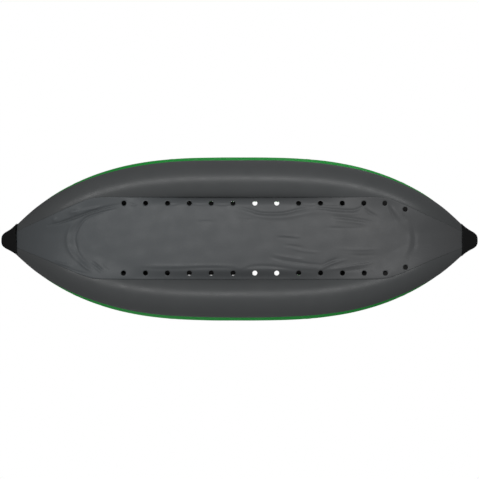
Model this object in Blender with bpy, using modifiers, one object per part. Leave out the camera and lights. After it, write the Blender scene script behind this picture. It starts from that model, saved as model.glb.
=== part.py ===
"""Solo whitewater inflatable kayak, self-bailing, in metres: bow at +X, port at +Y, standing on z = 0.

Each side is an air tube of welded sections, and both tubes meet at each end in a rubber nose cap. A perforated
sheet closes the bottom between the tubes and carries a drop-stitch mattress, and a wear panel covers the
underside of each tube. Spring valves, a seat with a folding back, rings and handles complete the boat.
"""

import math
from math import cos, pi, radians, sin, sqrt

import bmesh
import bpy
from mathutils import Matrix, Vector

# Hull: the driving dimensions
LENGTH = 2.900
BEAM = 0.951
OUTLINE_POWER = 3.0
OUTLINE_FULLNESS = 1.06
TUBE_RADIUS = 0.1315
TUBE_BLEND = 0.030  # over which a tube turns from full size to half the hull's width
KEEL_CLEARANCE = 0.0014  # under the tubes amidships, for the wear panels
RISE_START = 0.35  # share of the half length where the ends begin to rise
RISE_POWER = 1.8
END_RISE = 0.130
SKIN = 0.0012
GAP = 0.0004
CENTRE_GAP = 0.0012
HALF_LENGTH = LENGTH / 2
CAP_LENGTH = 0.114
COVER_END = HALF_LENGTH - CAP_LENGTH - 0.002  # the tubes go on a little way into the nose caps

# Tube sections, from stern to bow: where each begins, and its number of steps
SECTION_ENDS = (-1.400, -0.960, -0.400, 0.400, 0.960, 1.400)
SECTION_STEPS = (5, 5, 4, 5, 5)
SECTION_NAMES = ("stern_cone", "aft_section", "centre_section", "forward_section", "bow_cone")
RING_SIDES = 16
WEAR_COLUMNS = range(9, 16)  # the ring corners that the wear panel covers
TWIST_MIDDLE = radians(-12)
TWIST_END = radians(70)  # the grey underside climbs the sides towards the ends
WEAR_SKIN = 0.0010
WEAR_LIFT = 0.0010  # of the panel above the tube, which leaves room for its slope at the ends

# Bottom sheet and its drain holes
SHEET_EDGE = 0.236
SHEET_INBOARD = 0.12  # share of the tube's radius, where the sheet meets it at the ends
SHEET_STATIONS = 4  # stations in each end panel
FLOOR_LIFT = 0.0155  # of the sheet's lower face, above the undersides of the tubes
KNEE = 0.021  # past the mattress's flat part, where the sheet turns up to the tubes
HOLE_COUNT = 14
HOLE_PITCH = 0.1250
FIRST_HOLE_X = -0.662
HOLE_CLOSE_UP = 0.0013  # how the last holes close up as the floor rises to the bow
HOLE_Y = 0.200
HOLE_MARGIN = 0.026
HOLE_RADIUS = 0.0142
HOLE_SIDES = 10

# Floor mattress
MATTRESS_HALF_LENGTH = 1.020
MATTRESS_HALF_WIDTH = 0.2125
MATTRESS_THICKNESS = 0.085
MATTRESS_STEPS = 20
NOTCH_MIDDLE_X = 0.150
NOTCH_HALF_LENGTH = 0.150
NOTCH_DEPTH = 0.032

# Nose caps
CAP_TIP_HALF_WIDTH = 0.0427
CAP_FLARE = 0.234
CAP_SWELL = 2.2
CAP_NOSE = 0.045
CAP_HEIGHT_SHARE = 0.60
CAP_WALL = 0.0022
CAP_SHAPE = 3.0

# Valves
VALVE_X = -0.620
VALVE_ANGLE = radians(100)
VALVE_HOLE = 0.0236
VALVE_STEPS = 14
VALVE_HINGE = 0.0335
FLOOR_VALVE_X = 0.780
RELIEF_X = -0.820

# Seat
SEAT_FRONT = 0.020
SEAT_REAR = -0.375
SEAT_HALF_WIDTH = 0.182
SEAT_THICKNESS = 0.060
BACK_HINGE_X = -0.382
BACK_HEIGHT = 0.345
BACK_THICKNESS = 0.045
BACK_LEAN = radians(12)
STRAP_ON_BACK = 0.270  # up the seat back from its hinge

# Rings, straps and handles
RING_ANGLE = radians(118)
FRONT_RING_X = 0.150
REAR_RING_X = -0.860
RING_WIRE = 0.00275
RING_HALF_WIDTH = 0.020
RING_DEPTH = 0.024
RING_LEAN = radians(14)
RING_HEIGHT = 0.0034  # of its bar's axis above the patch
PATCH_RADIUS = 0.045
PATCH_LIFT = 0.0016
PATCH_SKIN = 0.0014
STRAP_WIDTH = 0.020
STRAP_THICKNESS = 0.0016
DECK_START = 1.020
DECK_LIFT = 0.0012
HANDLE_X = 1.150
HANDLE_KEEPER_Y = 0.042
HANDLE_REACH = 0.070
HANDLE_CORD = 0.004
HANDLE_HEIGHT = 0.0048  # of the axis that it turns on, above the deck
GRIP_RADIUS = 0.014
GRIP_HALF_LENGTH = 0.042
DECK_RING_X = 1.075

# Colours, roughness and metallic values
LOOKS = {
    "tube_green": ((0.025, 0.20, 0.055), 0.45, 0.0),
    "hull_grey": ((0.085, 0.09, 0.095), 0.5, 0.0),
    "floor_grey": ((0.13, 0.135, 0.14), 0.55, 0.0),
    "rubber_black": ((0.012, 0.012, 0.012), 0.6, 0.0),
    "valve_black": ((0.02, 0.02, 0.022), 0.4, 0.0),
    "seat_fabric": ((0.03, 0.03, 0.033), 0.85, 0.0),
    "webbing_black": ((0.015, 0.015, 0.016), 0.8, 0.0),
    "steel": ((0.6, 0.6, 0.6), 0.25, 1.0),
}


def clear_scene():
    for obj in list(bpy.data.objects):
        bpy.data.objects.remove(obj, do_unlink=True)


def new_collection(name):
    found = bpy.data.collections.new(name)
    bpy.context.scene.collection.children.link(found)
    return found


def material(name):
    found = bpy.data.materials.get(name)
    if found is None:
        colour, roughness, metallic = LOOKS[name]
        found = bpy.data.materials.new(name)
        found.use_nodes = True
        shader = found.node_tree.nodes["Principled BSDF"]
        shader.inputs["Base Color"].default_value = (*colour, 1.0)
        shader.inputs["Roughness"].default_value = roughness
        shader.inputs["Metallic"].default_value = metallic
    return found


def finish_object(obj, look, collection=None):
    (collection or KAYAK).objects.link(obj)
    obj.data.materials.append(material(look))
    return obj


def mesh_object(name, mesh, look, collection=None):
    mesh.shade_smooth()
    mesh.set_sharp_from_angle(angle=radians(35))
    return finish_object(bpy.data.objects.new(name, mesh), look, collection)


# ---------------------------------------------------------------- the hull's form


def share(x):
    """How far x lies from amidships, 0 to 1."""
    return min(abs(x) / HALF_LENGTH, 1.0)


def smooth_min(a, b, blend):
    return (a + b - sqrt((a - b) ** 2 + blend**2)) / 2


def smooth_step(value, low, high):
    t = min(max((value - low) / (high - low), 0.0), 1.0)
    return t * t * (3 - 2 * t)


def half_beam(x):
    return BEAM / 2 * (1 - share(x) ** OUTLINE_POWER) ** OUTLINE_FULLNESS


def tube_radius(x):
    return smooth_min(TUBE_RADIUS, half_beam(x) / 2 - CENTRE_GAP, TUBE_BLEND)


def tube_centre(x):
    """The port tube's centre at x: its y and z."""
    rise = max(0.0, (share(x) - RISE_START) / (1 - RISE_START)) ** RISE_POWER
    top = KEEL_CLEARANCE + 2 * tube_radius(0) + END_RISE * rise
    return half_beam(x) - tube_radius(x), top - tube_radius(x)


def twist(x):
    """The turn of the tube's corners at x, which brings the underside's grey up the sides at the ends."""
    return TWIST_MIDDLE + TWIST_END * share(x) ** 3


def tube_point(side, x, angle, lift=0.0):
    """A point on a tube: angle 0 is outboard, 90 degrees on top. Side is 1 to port, -1 to starboard."""
    y, z = tube_centre(x)
    radius = tube_radius(x) + lift
    return Vector((x, side * (y + radius * cos(angle)), z + radius * sin(angle)))


def tube_corner(side, x, corner, lift=0.0):
    return tube_point(side, x, 2 * pi * corner / RING_SIDES + twist(x), lift)


def tube_frame(side, x, angle, lift, forward):
    """Axes on a tube's surface: Z outward, X along the tube, towards the bow if forward is 1."""
    step = 0.01
    along = (tube_point(side, x + step, angle) - tube_point(side, x - step, angle)).normalized() * forward
    origin = tube_point(side, x, angle, lift)
    around = tube_point(side, x, angle + step) - tube_point(side, x, angle - step)
    normal = along.cross(around).normalized()
    if normal.dot(origin - Vector((x, side * tube_centre(x)[0], tube_centre(x)[1]))) < 0:
        normal.negate()
    return Matrix.Translation(origin) @ axes(along, normal)


def axes(x_axis, z_axis):
    return Matrix((x_axis, z_axis.cross(x_axis).normalized(), z_axis)).transposed().to_4x4()


# ---------------------------------------------------------------- meshes


def sheet_mesh(name, rows, ring=False, tip=None, flip=False):
    """A sheet through rows of points. A ring closes on itself, and tip is a point that closes the last row."""
    bm = bmesh.new()
    grid = [[bm.verts.new(p) for p in row] for row in rows]
    columns = len(rows[0]) if ring else len(rows[0]) - 1
    for near, far in zip(grid, grid[1:]):
        for j in range(columns):
            k = (j + 1) % len(near)
            bm.faces.new((near[j], far[j], far[k]))
            bm.faces.new((near[j], far[k], near[k]))
    if tip is not None:
        point = bm.verts.new(tip)
        for j in range(columns):
            bm.faces.new((grid[-1][j], point, grid[-1][(j + 1) % len(grid[-1])]))
    if flip:
        bmesh.ops.reverse_faces(bm, faces=bm.faces)
    mesh = bpy.data.meshes.new(name)
    bm.to_mesh(mesh)
    bm.free()
    return mesh


def solidify(obj, thickness):
    """Thickens a sheet on the side that its faces look to."""
    modifier = obj.modifiers.new("Skin", "SOLIDIFY")
    modifier.thickness = thickness
    modifier.offset = 1.0
    return obj


def loft(name, rings, look):
    """A closed solid through rings of points, each end closed by a flat face."""
    bm = bmesh.new()
    grid = [[bm.verts.new(p) for p in ring] for ring in rings]
    for near, far in zip(grid, grid[1:]):
        for j in range(len(near)):
            k = (j + 1) % len(near)
            bm.faces.new((near[j], near[k], far[k], far[j]))
    bm.faces.new(list(reversed(grid[0])))
    bm.faces.new(grid[-1])
    bmesh.ops.recalc_face_normals(bm, faces=bm.faces)
    mesh = bpy.data.meshes.new(name)
    bm.to_mesh(mesh)
    bm.free()
    return mesh_object(name, mesh, look)


def cut(obj, cutter):
    modifier = obj.modifiers.new("Cut", "BOOLEAN")
    modifier.operation = "DIFFERENCE"
    modifier.object = cutter


def cutters(name, frames, radius, depth, sides):
    """Cylinders along each frame's Z, centred on its origin, in one hidden cutter."""
    bm = bmesh.new()
    for frame in frames:
        bmesh.ops.create_cone(
            bm, cap_ends=True, segments=sides, radius1=radius, radius2=radius, depth=depth, matrix=frame
        )
    mesh = bpy.data.meshes.new(name)
    bm.to_mesh(mesh)
    bm.free()
    obj = bpy.data.objects.new(name, mesh)
    obj.hide_render = True
    obj.display_type = "WIRE"
    CUTTERS.objects.link(obj)
    return obj


def turned(name, profile, look, frame, steps=VALVE_STEPS):
    """A turned solid: profile is (radius, height) points that run down the outer side."""
    mesh = bpy.data.meshes.new(name)
    points = [(radius, 0.0, height) for radius, height in profile]
    closed = profile[0][0] > 0 and profile[-1][0] > 0
    edges = [(i, i + 1) for i in range(len(points) - 1)] + ([(len(points) - 1, 0)] if closed else [])
    mesh.from_pydata(points, edges, [])
    obj = finish_object(bpy.data.objects.new(name, mesh), look)
    modifier = obj.modifiers.new("Turn", "SCREW")
    modifier.steps = modifier.render_steps = steps
    modifier.use_merge_vertices = True
    modifier.merge_threshold = 0.00001
    modifier.use_smooth_shade = True
    obj.matrix_world = frame
    return obj


def box_object(name, size, middle, look, frame, bevel=0.0):
    bm = bmesh.new()
    bmesh.ops.create_cube(bm, size=1.0)
    bmesh.ops.scale(bm, vec=Vector(size), verts=bm.verts)
    bmesh.ops.translate(bm, vec=Vector(middle), verts=bm.verts)
    mesh = bpy.data.meshes.new(name)
    bm.to_mesh(mesh)
    bm.free()
    obj = mesh_object(name, mesh, look)
    obj.matrix_world = frame
    if bevel:
        modifier = obj.modifiers.new("Round", "BEVEL")
        modifier.width = bevel
        modifier.segments = 2
    return obj


def wire(name, points, radius, look, frame, closed=False, resolution=1):
    curve = bpy.data.curves.new(name, "CURVE")
    curve.dimensions = "3D"
    spline = curve.splines.new("POLY")
    spline.points.add(len(points) - 1)
    for point, place in zip(spline.points, points):
        point.co = (*place, 1.0)
    spline.use_cyclic_u = closed
    curve.bevel_depth = radius
    curve.bevel_resolution = resolution
    curve.use_fill_caps = not closed
    obj = finish_object(bpy.data.objects.new(name, curve), look)
    obj.matrix_world = frame
    return obj


def ribbon(name, points, widths, width, thickness, look):
    """Webbing along points. Widths are the directions across it, one at each point."""
    rings = []
    for i, (point, across) in enumerate(zip(points, widths)):
        along = (points[min(i + 1, len(points) - 1)] - points[max(i - 1, 0)]).normalized()
        side = (across - along * across.dot(along)).normalized()
        normal = along.cross(side)
        rings.append(
            [
                point + side * a * width / 2 + normal * b * thickness / 2
                for a, b in ((1, 1), (-1, 1), (-1, -1), (1, -1))
            ]
        )
    return loft(name, rings, look)


# ---------------------------------------------------------------- tubes


def stations(first, last, steps):
    return [first + (last - first) * i / steps for i in range(steps + 1)]


def hull_stations():
    """Every place along the hull where its surfaces have a row of corners, from nose cap to nose cap."""
    ends = [-COVER_END, *SECTION_ENDS[1:-1], COVER_END]
    places = [-COVER_END]
    for first, last, steps in zip(ends, ends[1:], SECTION_STEPS):
        places += stations(first, last, steps)[1:]
    return places


def tube_section(side, index, prefix):
    name = f"{prefix}_{SECTION_NAMES[index]}"
    first, last = SECTION_ENDS[index], SECTION_ENDS[index + 1]
    cone = index in (0, len(SECTION_NAMES) - 1)
    places = [x for x in hull_stations() if first <= x <= last] + ([first, last] if cone else [])
    places = sorted(set(places), reverse=index == 0)
    places[0] += math.copysign(GAP / 2, places[1] - places[0])
    if not cone:
        places[-1] -= GAP / 2
    rows = [[tube_corner(side, x, j, -SKIN) for j in range(RING_SIDES)] for x in places]
    tip = None
    if cone:
        y, z = tube_centre(places[-1])
        tip = Vector((places[-1] + math.copysign(0.006, places[-1]), side * y, z))
    flip = (side > 0) != (index == 0)
    mesh = sheet_mesh(name, rows, ring=True, tip=tip, flip=flip)
    return solidify(mesh_object(name, mesh, "tube_green"), SKIN)


def wear_panel(side, prefix):
    """The grey layer on a tube's underside, from nose cap to nose cap."""
    rows = [[tube_corner(side, x, j, WEAR_LIFT) for j in WEAR_COLUMNS] for x in hull_stations()]
    mesh = sheet_mesh(f"{prefix}_wear_panel", rows, flip=side > 0)
    return solidify(mesh_object(mesh.name, mesh, "hull_grey"), WEAR_SKIN)


def build_tubes():
    for side, prefix in ((1, "port"), (-1, "starboard")):
        for index in range(len(SECTION_NAMES)):
            tube_section(side, index, prefix)
        wear_panel(side, prefix)


# ---------------------------------------------------------------- bottom sheet and mattress


def sheet_edge(x):
    y, _ = tube_centre(x)
    return smooth_min(SHEET_EDGE, y - SHEET_INBOARD * tube_radius(x), 0.012)


def edge_height(x):
    """The height of the sheet's upper face where it meets the wear panel."""
    y, z = tube_centre(x)
    radius = tube_radius(x) + WEAR_LIFT + WEAR_SKIN + 2.5 * GAP
    return z - sqrt(radius**2 - (y - sheet_edge(x)) ** 2)


def floor_height(x):
    """The height of the sheet's lower face on the centreline: flat amidships, rising with the tubes."""
    _, z = tube_centre(x)
    return z - tube_radius(x) + FLOOR_LIFT


def knee(x):
    """How far from the centreline the sheet turns up to the tubes."""
    return max(mattress_half_width(x, notched=False) - MATTRESS_THICKNESS / 2, 0.02) + KNEE


def sheet_point(x, y):
    """A point on the sheet's lower face."""
    edge = edge_height(x) - SKIN
    low = floor_height(x)
    low += (edge - low) * smooth_step(abs(x), MATTRESS_HALF_LENGTH + 0.01, 1.18)
    turn = knee(x)
    return Vector((x, y, low + (edge - low) * max(0.0, (abs(y) - turn) / (sheet_edge(x) - turn))))


def bottom_sheet(name, places):
    rows = []
    for x in places:
        turn = min(knee(x), 0.7 * sheet_edge(x))
        half = (sheet_edge(x), (turn + sheet_edge(x)) / 2, turn, turn / 2, 0.0)
        rows.append([sheet_point(x, -y) for y in half] + [sheet_point(x, y) for y in half[-2::-1]])
    return solidify(mesh_object(name, sheet_mesh(name, rows), "hull_grey"), SKIN)


def hole_place(index, side):
    x = FIRST_HOLE_X + HOLE_PITCH * index - HOLE_CLOSE_UP * max(0, index - 10) ** 2
    return x, side * min(HOLE_Y, sheet_edge(x) - HOLE_MARGIN)


def build_bottom():
    panels = hull_stations()
    first, last = SHEET_STATIONS, len(panels) - SHEET_STATIONS
    bottom_sheet("bottom_sheet_stern", [*panels[:first], panels[first] - GAP])
    centre = bottom_sheet("bottom_sheet_centre", panels[first:last])
    bottom_sheet("bottom_sheet_bow", [panels[last - 1] + GAP, *panels[last:]])
    frames = []
    for index in range(HOLE_COUNT):
        for side in (1, -1):
            x, y = hole_place(index, side)
            frames.append(Matrix.Translation(sheet_point(x, y)))
    cut(centre, cutters("drain_hole_cutters", frames, HOLE_RADIUS, 0.06, HOLE_SIDES))


def mattress_half_width(x, notched=True):
    """Half the mattress's width: it lies clear under the tubes, with a drain notch each side amidships."""
    half = MATTRESS_THICKNESS / 2
    y, z = tube_centre(x)
    reach = tube_radius(x) + half + 0.004
    drop = z - (floor_height(x) + SKIN + GAP + half)
    beside_tubes = y - sqrt(max(reach**2 - drop**2, 0.0)) + half
    from_notch = abs(x - NOTCH_MIDDLE_X) / NOTCH_HALF_LENGTH
    notch = NOTCH_DEPTH * (1 - smooth_step(from_notch, 0.75, 1.15)) if notched else 0.0
    end = sqrt(max(1 - (x / MATTRESS_HALF_LENGTH) ** 10, 0.0))
    return max(min(smooth_min(MATTRESS_HALF_WIDTH - notch, beside_tubes, 0.01) * end, 1.0), half + 0.003)


def build_mattress():
    half = MATTRESS_THICKNESS / 2
    rings = []
    for i in range(MATTRESS_STEPS + 1):
        x = MATTRESS_HALF_LENGTH * sin(pi / 2 * (2 * i / MATTRESS_STEPS - 1) * 0.86) / sin(pi / 2 * 0.86)
        flat = mattress_half_width(x) - half
        middle = floor_height(x) + SKIN + GAP + half + 0.0006
        ring = []
        for side in (1, -1):
            for turn in range(5):
                angle = side * (pi / 2 - pi / 4 * turn) if side > 0 else -pi / 2 - pi / 4 * turn
                ring.append(Vector((x, side * flat + half * cos(angle), middle + half * sin(angle))))
        rings.append(ring)
    mattress = loft("floor_mattress", rings, "floor_grey")
    pockets = [floor_frame(FLOOR_VALVE_X), floor_frame(RELIEF_X)]
    cut(mattress, cutters("floor_valve_cutters", pockets, VALVE_HOLE, 0.110, VALVE_STEPS))
    return mattress


def floor_top(x):
    return floor_height(x) + SKIN + GAP + 0.0006 + MATTRESS_THICKNESS


def floor_frame(x):
    """Axes on the mattress's top face, on the centreline: Z outward, X towards the bow."""
    slope = (floor_top(x + 0.03) - floor_top(x - 0.03)) / 0.06
    along = Vector((1, 0, slope)).normalized()
    normal = Vector((-slope, 0, 1)).normalized()
    return Matrix.Translation((x, 0, floor_top(x) + 0.0004)) @ axes(along, normal)


# ---------------------------------------------------------------- nose caps and deck panels


def cap_half_width(d):
    """Half the cap's width at a distance d from its tip."""
    round_end = (1 - max(0.0, 1 - d / CAP_NOSE) ** 3) ** (1 / 3)
    return (CAP_TIP_HALF_WIDTH + CAP_FLARE * d + CAP_SWELL * d**2) * round_end


def cap_ring(end, d, inset):
    x = end * (HALF_LENGTH - d)
    _, z = tube_centre(end * (HALF_LENGTH - max(d, 0.02)))
    width = max(cap_half_width(d) - inset, 0.002)
    height = max(cap_half_width(d) * CAP_HEIGHT_SHARE - inset, 0.0015)
    ring = []
    for j in range(16):
        a = 2 * pi * j / 16
        y = math.copysign(abs(cos(a)) ** (2 / CAP_SHAPE), cos(a)) * width
        ring.append(Vector((x, y, z + math.copysign(abs(sin(a)) ** (2 / CAP_SHAPE), sin(a)) * height)))
    return ring


def build_caps():
    """Each cap is a hollow boot, open towards the hull, over the ends of both tubes."""
    depths = (CAP_LENGTH, 0.092, 0.070, 0.050, 0.032, 0.016, 0.006, 0.001)
    for end, name in ((1, "bow_nose_cap"), (-1, "stern_nose_cap")):
        outside = [cap_ring(end, d, 0.0) for d in depths]
        inside = [cap_ring(end, d, CAP_WALL) for d in depths[:-2]]
        rings = list(reversed(outside)) + inside
        loft(name, rings, "rubber_black")


def deck_point(x, across):
    """A point on the deck panel, which bridges the groove between the tubes at an end."""
    y, z = tube_centre(x)
    radius = tube_radius(x) + DECK_LIFT
    reach = y + 0.45 * radius
    place = across * reach
    if abs(place) < y:
        return Vector((x, place, z + radius))
    return Vector((x, place, z + sqrt(radius**2 - (abs(place) - y) ** 2)))


def build_decks():
    shares = (-1.0, -0.85, -0.70, -0.35, 0.0, 0.35, 0.70, 0.85, 1.0)
    for end, name in ((1, "bow_deck_panel"), (-1, "stern_deck_panel")):
        places = stations(end * DECK_START, end * (HALF_LENGTH - CAP_LENGTH - 0.003), 6)
        rows = [[deck_point(x, s) for s in shares] for x in places]
        solidify(mesh_object(name, sheet_mesh(name, rows, flip=end < 0), "rubber_black"), PATCH_SKIN)


def deck_height(x):
    return tube_centre(x)[1] + tube_radius(x) + DECK_LIFT + PATCH_SKIN


def deck_frame(x):
    """Axes on a deck panel's outer face: Z outward, X towards the nearer end of the boat."""
    end = math.copysign(1, x)
    step = 0.02
    slope = (deck_height(x + end * step) - deck_height(x - end * step)) / (2 * step)
    along = Vector((end, 0, slope)).normalized()
    normal = Vector((-slope * end, 0, 1)).normalized()
    return Matrix.Translation((x, 0, deck_height(x))) @ axes(along, normal)


# ---------------------------------------------------------------- valves


def build_valve(prefix, frame):
    """A spring valve: a flanged body, a push plunger held up by a coil spring, and a hinged cap."""
    body = (
        (0.0300, 0.0042), (0.0300, 0.0008), (0.0230, 0.0008), (0.0230, -0.0300),
        (0.0034, -0.0300), (0.0034, -0.0262), (0.0190, -0.0262), (0.0190, -0.0085),
        (0.0120, -0.0085), (0.0120, -0.0055), (0.0190, -0.0055), (0.0190, 0.0042),
    )  # fmt: skip
    housing = turned(f"{prefix}_valve_body", body, "valve_black", frame)
    for y in (-0.0072, 0.0072):
        middle = (-VALVE_HINGE + 0.0006, y, 0.0048)
        join(housing, box_object("ear", (0.0090, 0.0030, 0.0080), middle, "valve_black", frame))
    plunger = (
        (0.0, -0.0020), (0.0070, -0.0020), (0.0070, -0.0050), (0.0030, -0.0050),
        (0.0030, -0.0090), (0.0150, -0.0090), (0.0150, -0.0112), (0.0030, -0.0112),
        (0.0030, -0.0340), (0.0, -0.0340),
    )  # fmt: skip
    turned(f"{prefix}_valve_plunger", plunger, "valve_black", frame, steps=12)
    low, high, turns, per_turn = -0.0250, -0.0124, 4, 9
    coil = []
    for i in range(turns * per_turn + 1):
        a = 2 * pi * i / per_turn
        coil.append((0.0075 * cos(a), 0.0075 * sin(a), low + (high - low) * i / (turns * per_turn)))
    wire(f"{prefix}_valve_spring", coil, 0.0008, "steel", frame, resolution=0)
    cap = (
        (0.0, 0.0104), (0.0200, 0.0098), (0.0262, 0.0082), (0.0270, 0.0052),
        (0.0205, 0.0052), (0.0205, 0.0078), (0.0, 0.0078),
    )  # fmt: skip
    obj = turned(f"{prefix}_valve_cap", cap, "valve_black", frame)
    lug = box_object("lug", (0.0120, 0.0100, 0.0026), (-0.0300, 0, 0.0068), "valve_black", frame)
    join(obj, lug)


def hide_cutter(obj):
    obj.hide_render = True
    obj.display_type = "WIRE"
    KAYAK.objects.unlink(obj)
    CUTTERS.objects.link(obj)


def join(obj, other):
    """Joins another mesh object into obj and keeps it as a hidden cutter."""
    modifier = obj.modifiers.new("Join", "BOOLEAN")
    modifier.operation = "UNION"
    modifier.object = other
    other.name = f"{obj.name}_{other.name}"
    hide_cutter(other)


def build_valves():
    for side, prefix in ((1, "port"), (-1, "starboard")):
        frame = tube_frame(side, VALVE_X, VALVE_ANGLE, 0.0, 1)
        build_valve(f"{prefix}_tube", frame)
        section = bpy.data.objects[f"{prefix}_aft_section"]
        cut(section, cutters(f"{prefix}_valve_cutter", [frame], VALVE_HOLE, 0.080, VALVE_STEPS))
    build_valve("floor", floor_frame(FLOOR_VALVE_X))
    relief = floor_frame(RELIEF_X)
    body = (
        (0.0290, 0.0040), (0.0290, 0.0006), (0.0230, 0.0006), (0.0230, -0.0240),
        (0.0120, -0.0240), (0.0120, 0.0040),
    )  # fmt: skip
    turned("relief_valve_body", body, "valve_black", relief, steps=12)
    cap = ((0.0, 0.0085), (0.0150, 0.0080), (0.0200, 0.0062), (0.0200, 0.0044), (0.0110, 0.0044),
           (0.0110, -0.0060), (0.0, -0.0060))  # fmt: skip
    turned("relief_valve_cap", cap, "rubber_black", relief, steps=12)


# ---------------------------------------------------------------- rings and patches


def ring_points():
    """The D of a ring: its straight bar along Y at the origin, and its bow towards X."""
    points = []
    for i in range(13):
        a = pi / 2 - pi * i / 12
        x = RING_DEPTH * abs(cos(a)) ** (2 / 3)
        y = RING_HALF_WIDTH * math.copysign(abs(sin(a)) ** (2 / 3), sin(a))
        points.append((x, y, 0.0))
    return points


def build_patch(name, side, x, angle):
    """A round patch that follows the tube."""
    radius = tube_radius(x)
    rows = []
    for ring in (0.18, 0.6, 1.0):
        row = []
        for i in range(16):
            a = 2 * pi * i / 16
            place = PATCH_RADIUS * ring
            row.append(
                tube_point(side, x + place * cos(a), angle + place * sin(a) / radius, PATCH_LIFT)
            )
        rows.append(row)
    rows.reverse()
    tip = tube_point(side, x, angle, PATCH_LIFT)
    mesh = sheet_mesh(name, rows, ring=True, tip=tip, flip=side < 0)
    return solidify(mesh_object(name, mesh, "rubber_black"), PATCH_SKIN)


def keeper_points(radius, height, foot):
    """The side outline of a strap that holds a bar down, from foot to foot. The bar's axis is at height."""
    r = radius + 0.0011
    arch = [(r * cos(pi - pi * i / 6), height + r * sin(pi - pi * i / 6)) for i in range(7)]
    toe = r + 0.0022
    return [(-toe - 0.012, foot), (-toe, foot), *arch, (toe, foot), (toe + 0.012, foot)]


def weld_keeper(base, frame, radius, height, width, along=0.0):
    """Adds a keeper strap to a patch or a panel. The frame's origin is on that piece's outer face."""
    spot = frame @ Matrix.Translation((0, along, 0))
    points = [spot @ Vector((x, 0, z)) for x, z in keeper_points(radius, height, -0.0002)]
    across = spot.to_3x3() @ Vector((0, 1, 0))
    name = f"keeper_{len(base.modifiers)}"
    join(base, ribbon(name, points, [across] * len(points), width, 0.0010, "webbing_black"))


def ring_frame(side, x, forward):
    """A seat ring's axes: its bar along Y at the origin, its bow towards X."""
    frame = tube_frame(side, x, RING_ANGLE, PATCH_LIFT + PATCH_SKIN, forward)
    return frame @ Matrix.Translation((0, 0, RING_HEIGHT)) @ Matrix.Rotation(-RING_LEAN, 4, "Y")


def build_seat_rings():
    for side, prefix in ((1, "port"), (-1, "starboard")):
        for x, place, forward in ((FRONT_RING_X, "front", -1), (REAR_RING_X, "rear", 1)):
            name = f"{prefix}_{place}_ring"
            patch = build_patch(f"{name}_patch", side, x, RING_ANGLE)
            outer = tube_frame(side, x, RING_ANGLE, PATCH_LIFT + PATCH_SKIN, forward)
            weld_keeper(patch, outer, RING_WIRE, RING_HEIGHT, 0.024)
            wire(name, ring_points(), RING_WIRE, "steel", ring_frame(side, x, forward), closed=True)


def build_tie_rings():
    for end, prefix in ((1, "bow"), (-1, "stern")):
        frame = deck_frame(end * DECK_RING_X)
        weld_keeper(bpy.data.objects[f"{prefix}_deck_panel"], frame, RING_WIRE, RING_HEIGHT, 0.024)
        axis = frame @ Matrix.Translation((0, 0, RING_HEIGHT)) @ Matrix.Rotation(pi, 4, "Z")
        wire(f"{prefix}_tie_ring", ring_points(), RING_WIRE, "steel", axis, closed=True)


# ---------------------------------------------------------------- seat


def back_frame():
    """The seat back's axes: origin on its hinge, Z up the back."""
    hinge = Vector((BACK_HINGE_X, 0, floor_top(SEAT_REAR) + SEAT_THICKNESS + 0.006))
    return Matrix.Translation(hinge) @ Matrix.Rotation(-BACK_LEAN, 4, "Y")


def build_seat():
    base = floor_top(0) + 0.0006
    length = SEAT_FRONT - SEAT_REAR
    middle = ((SEAT_FRONT + SEAT_REAR) / 2, 0, base + SEAT_THICKNESS / 2)
    size = (length, 2 * SEAT_HALF_WIDTH, SEAT_THICKNESS)
    box_object("seat_base", size, middle, "seat_fabric", Matrix.Identity(4), bevel=0.016)
    size = (BACK_THICKNESS, 2 * SEAT_HALF_WIDTH, BACK_HEIGHT)
    middle = (-BACK_THICKNESS / 2 - 0.004, 0, BACK_HEIGHT / 2 + 0.004)
    box_object("seat_back", size, middle, "seat_fabric", back_frame(), bevel=0.014)
    back = back_frame()
    hinge = back.translation
    face = SEAT_REAR - 0.0011
    points = [Vector((face, 0, hinge.z - 0.050)), Vector((face, 0, hinge.z - 0.022))]
    points += [Vector((face - 0.0006, 0, hinge.z - 0.008)), Vector((hinge.x + 0.0012, 0, hinge.z + 0.002))]
    points += [back @ Vector((-0.0028, 0, z)) for z in (0.010, 0.022, 0.050)]
    across = [Vector((0, 1, 0))] * len(points)
    ribbon("seat_hinge_strip", points, across, 2 * SEAT_HALF_WIDTH - 0.06, 0.0014, "seat_fabric")


def strap_path(side, ring_x, forward, height):
    """From a loop round a ring's bow to the side of the seat back: the points and the directions across."""
    ring = ring_frame(side, ring_x, forward) @ Matrix.Translation((RING_DEPTH - 0.0006, 0, 0))
    back = back_frame()
    outside = SEAT_HALF_WIDTH + 0.0025
    place = -BACK_THICKNESS * 0.5
    wrap = RING_WIRE + 0.0026
    local = [(0.050, 0.0014), (0.034, 0.0014), (0.014, 0.0040), (0.004, wrap)]
    local += [(wrap * cos(a), wrap * sin(a)) for a in (pi / 2 + pi * i / 6 for i in range(7))]
    local += [(0.004, -wrap), (0.014, -0.0040), (0.034, -0.0014), (0.066, -0.0014)]
    points = [ring @ Vector((x, 0, z)) for x, z in local]
    across = [ring.to_3x3() @ Vector((0, 1, 0))] * len(points)
    up = back.to_3x3() @ Vector((0, 0, 1))
    if across[-1].dot(up) < 0:
        up = -up
    start = points[-1]
    out = (start - points[-2]).normalized()
    tail = back @ Vector((place + forward * -0.030, side * outside, height))
    reach = (tail - start).length
    for i in range(1, 9):
        t = i / 8
        bend = start.lerp(tail, t)
        points.append(bend.lerp(start + out * reach * t, (1 - t) ** 3))
        across.append(across[0].lerp(up, smooth_step(t, 0.25, 0.95)).normalized())
    points.append(back @ Vector((place, side * outside, height)))
    across.append(up)
    return points, across


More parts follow.
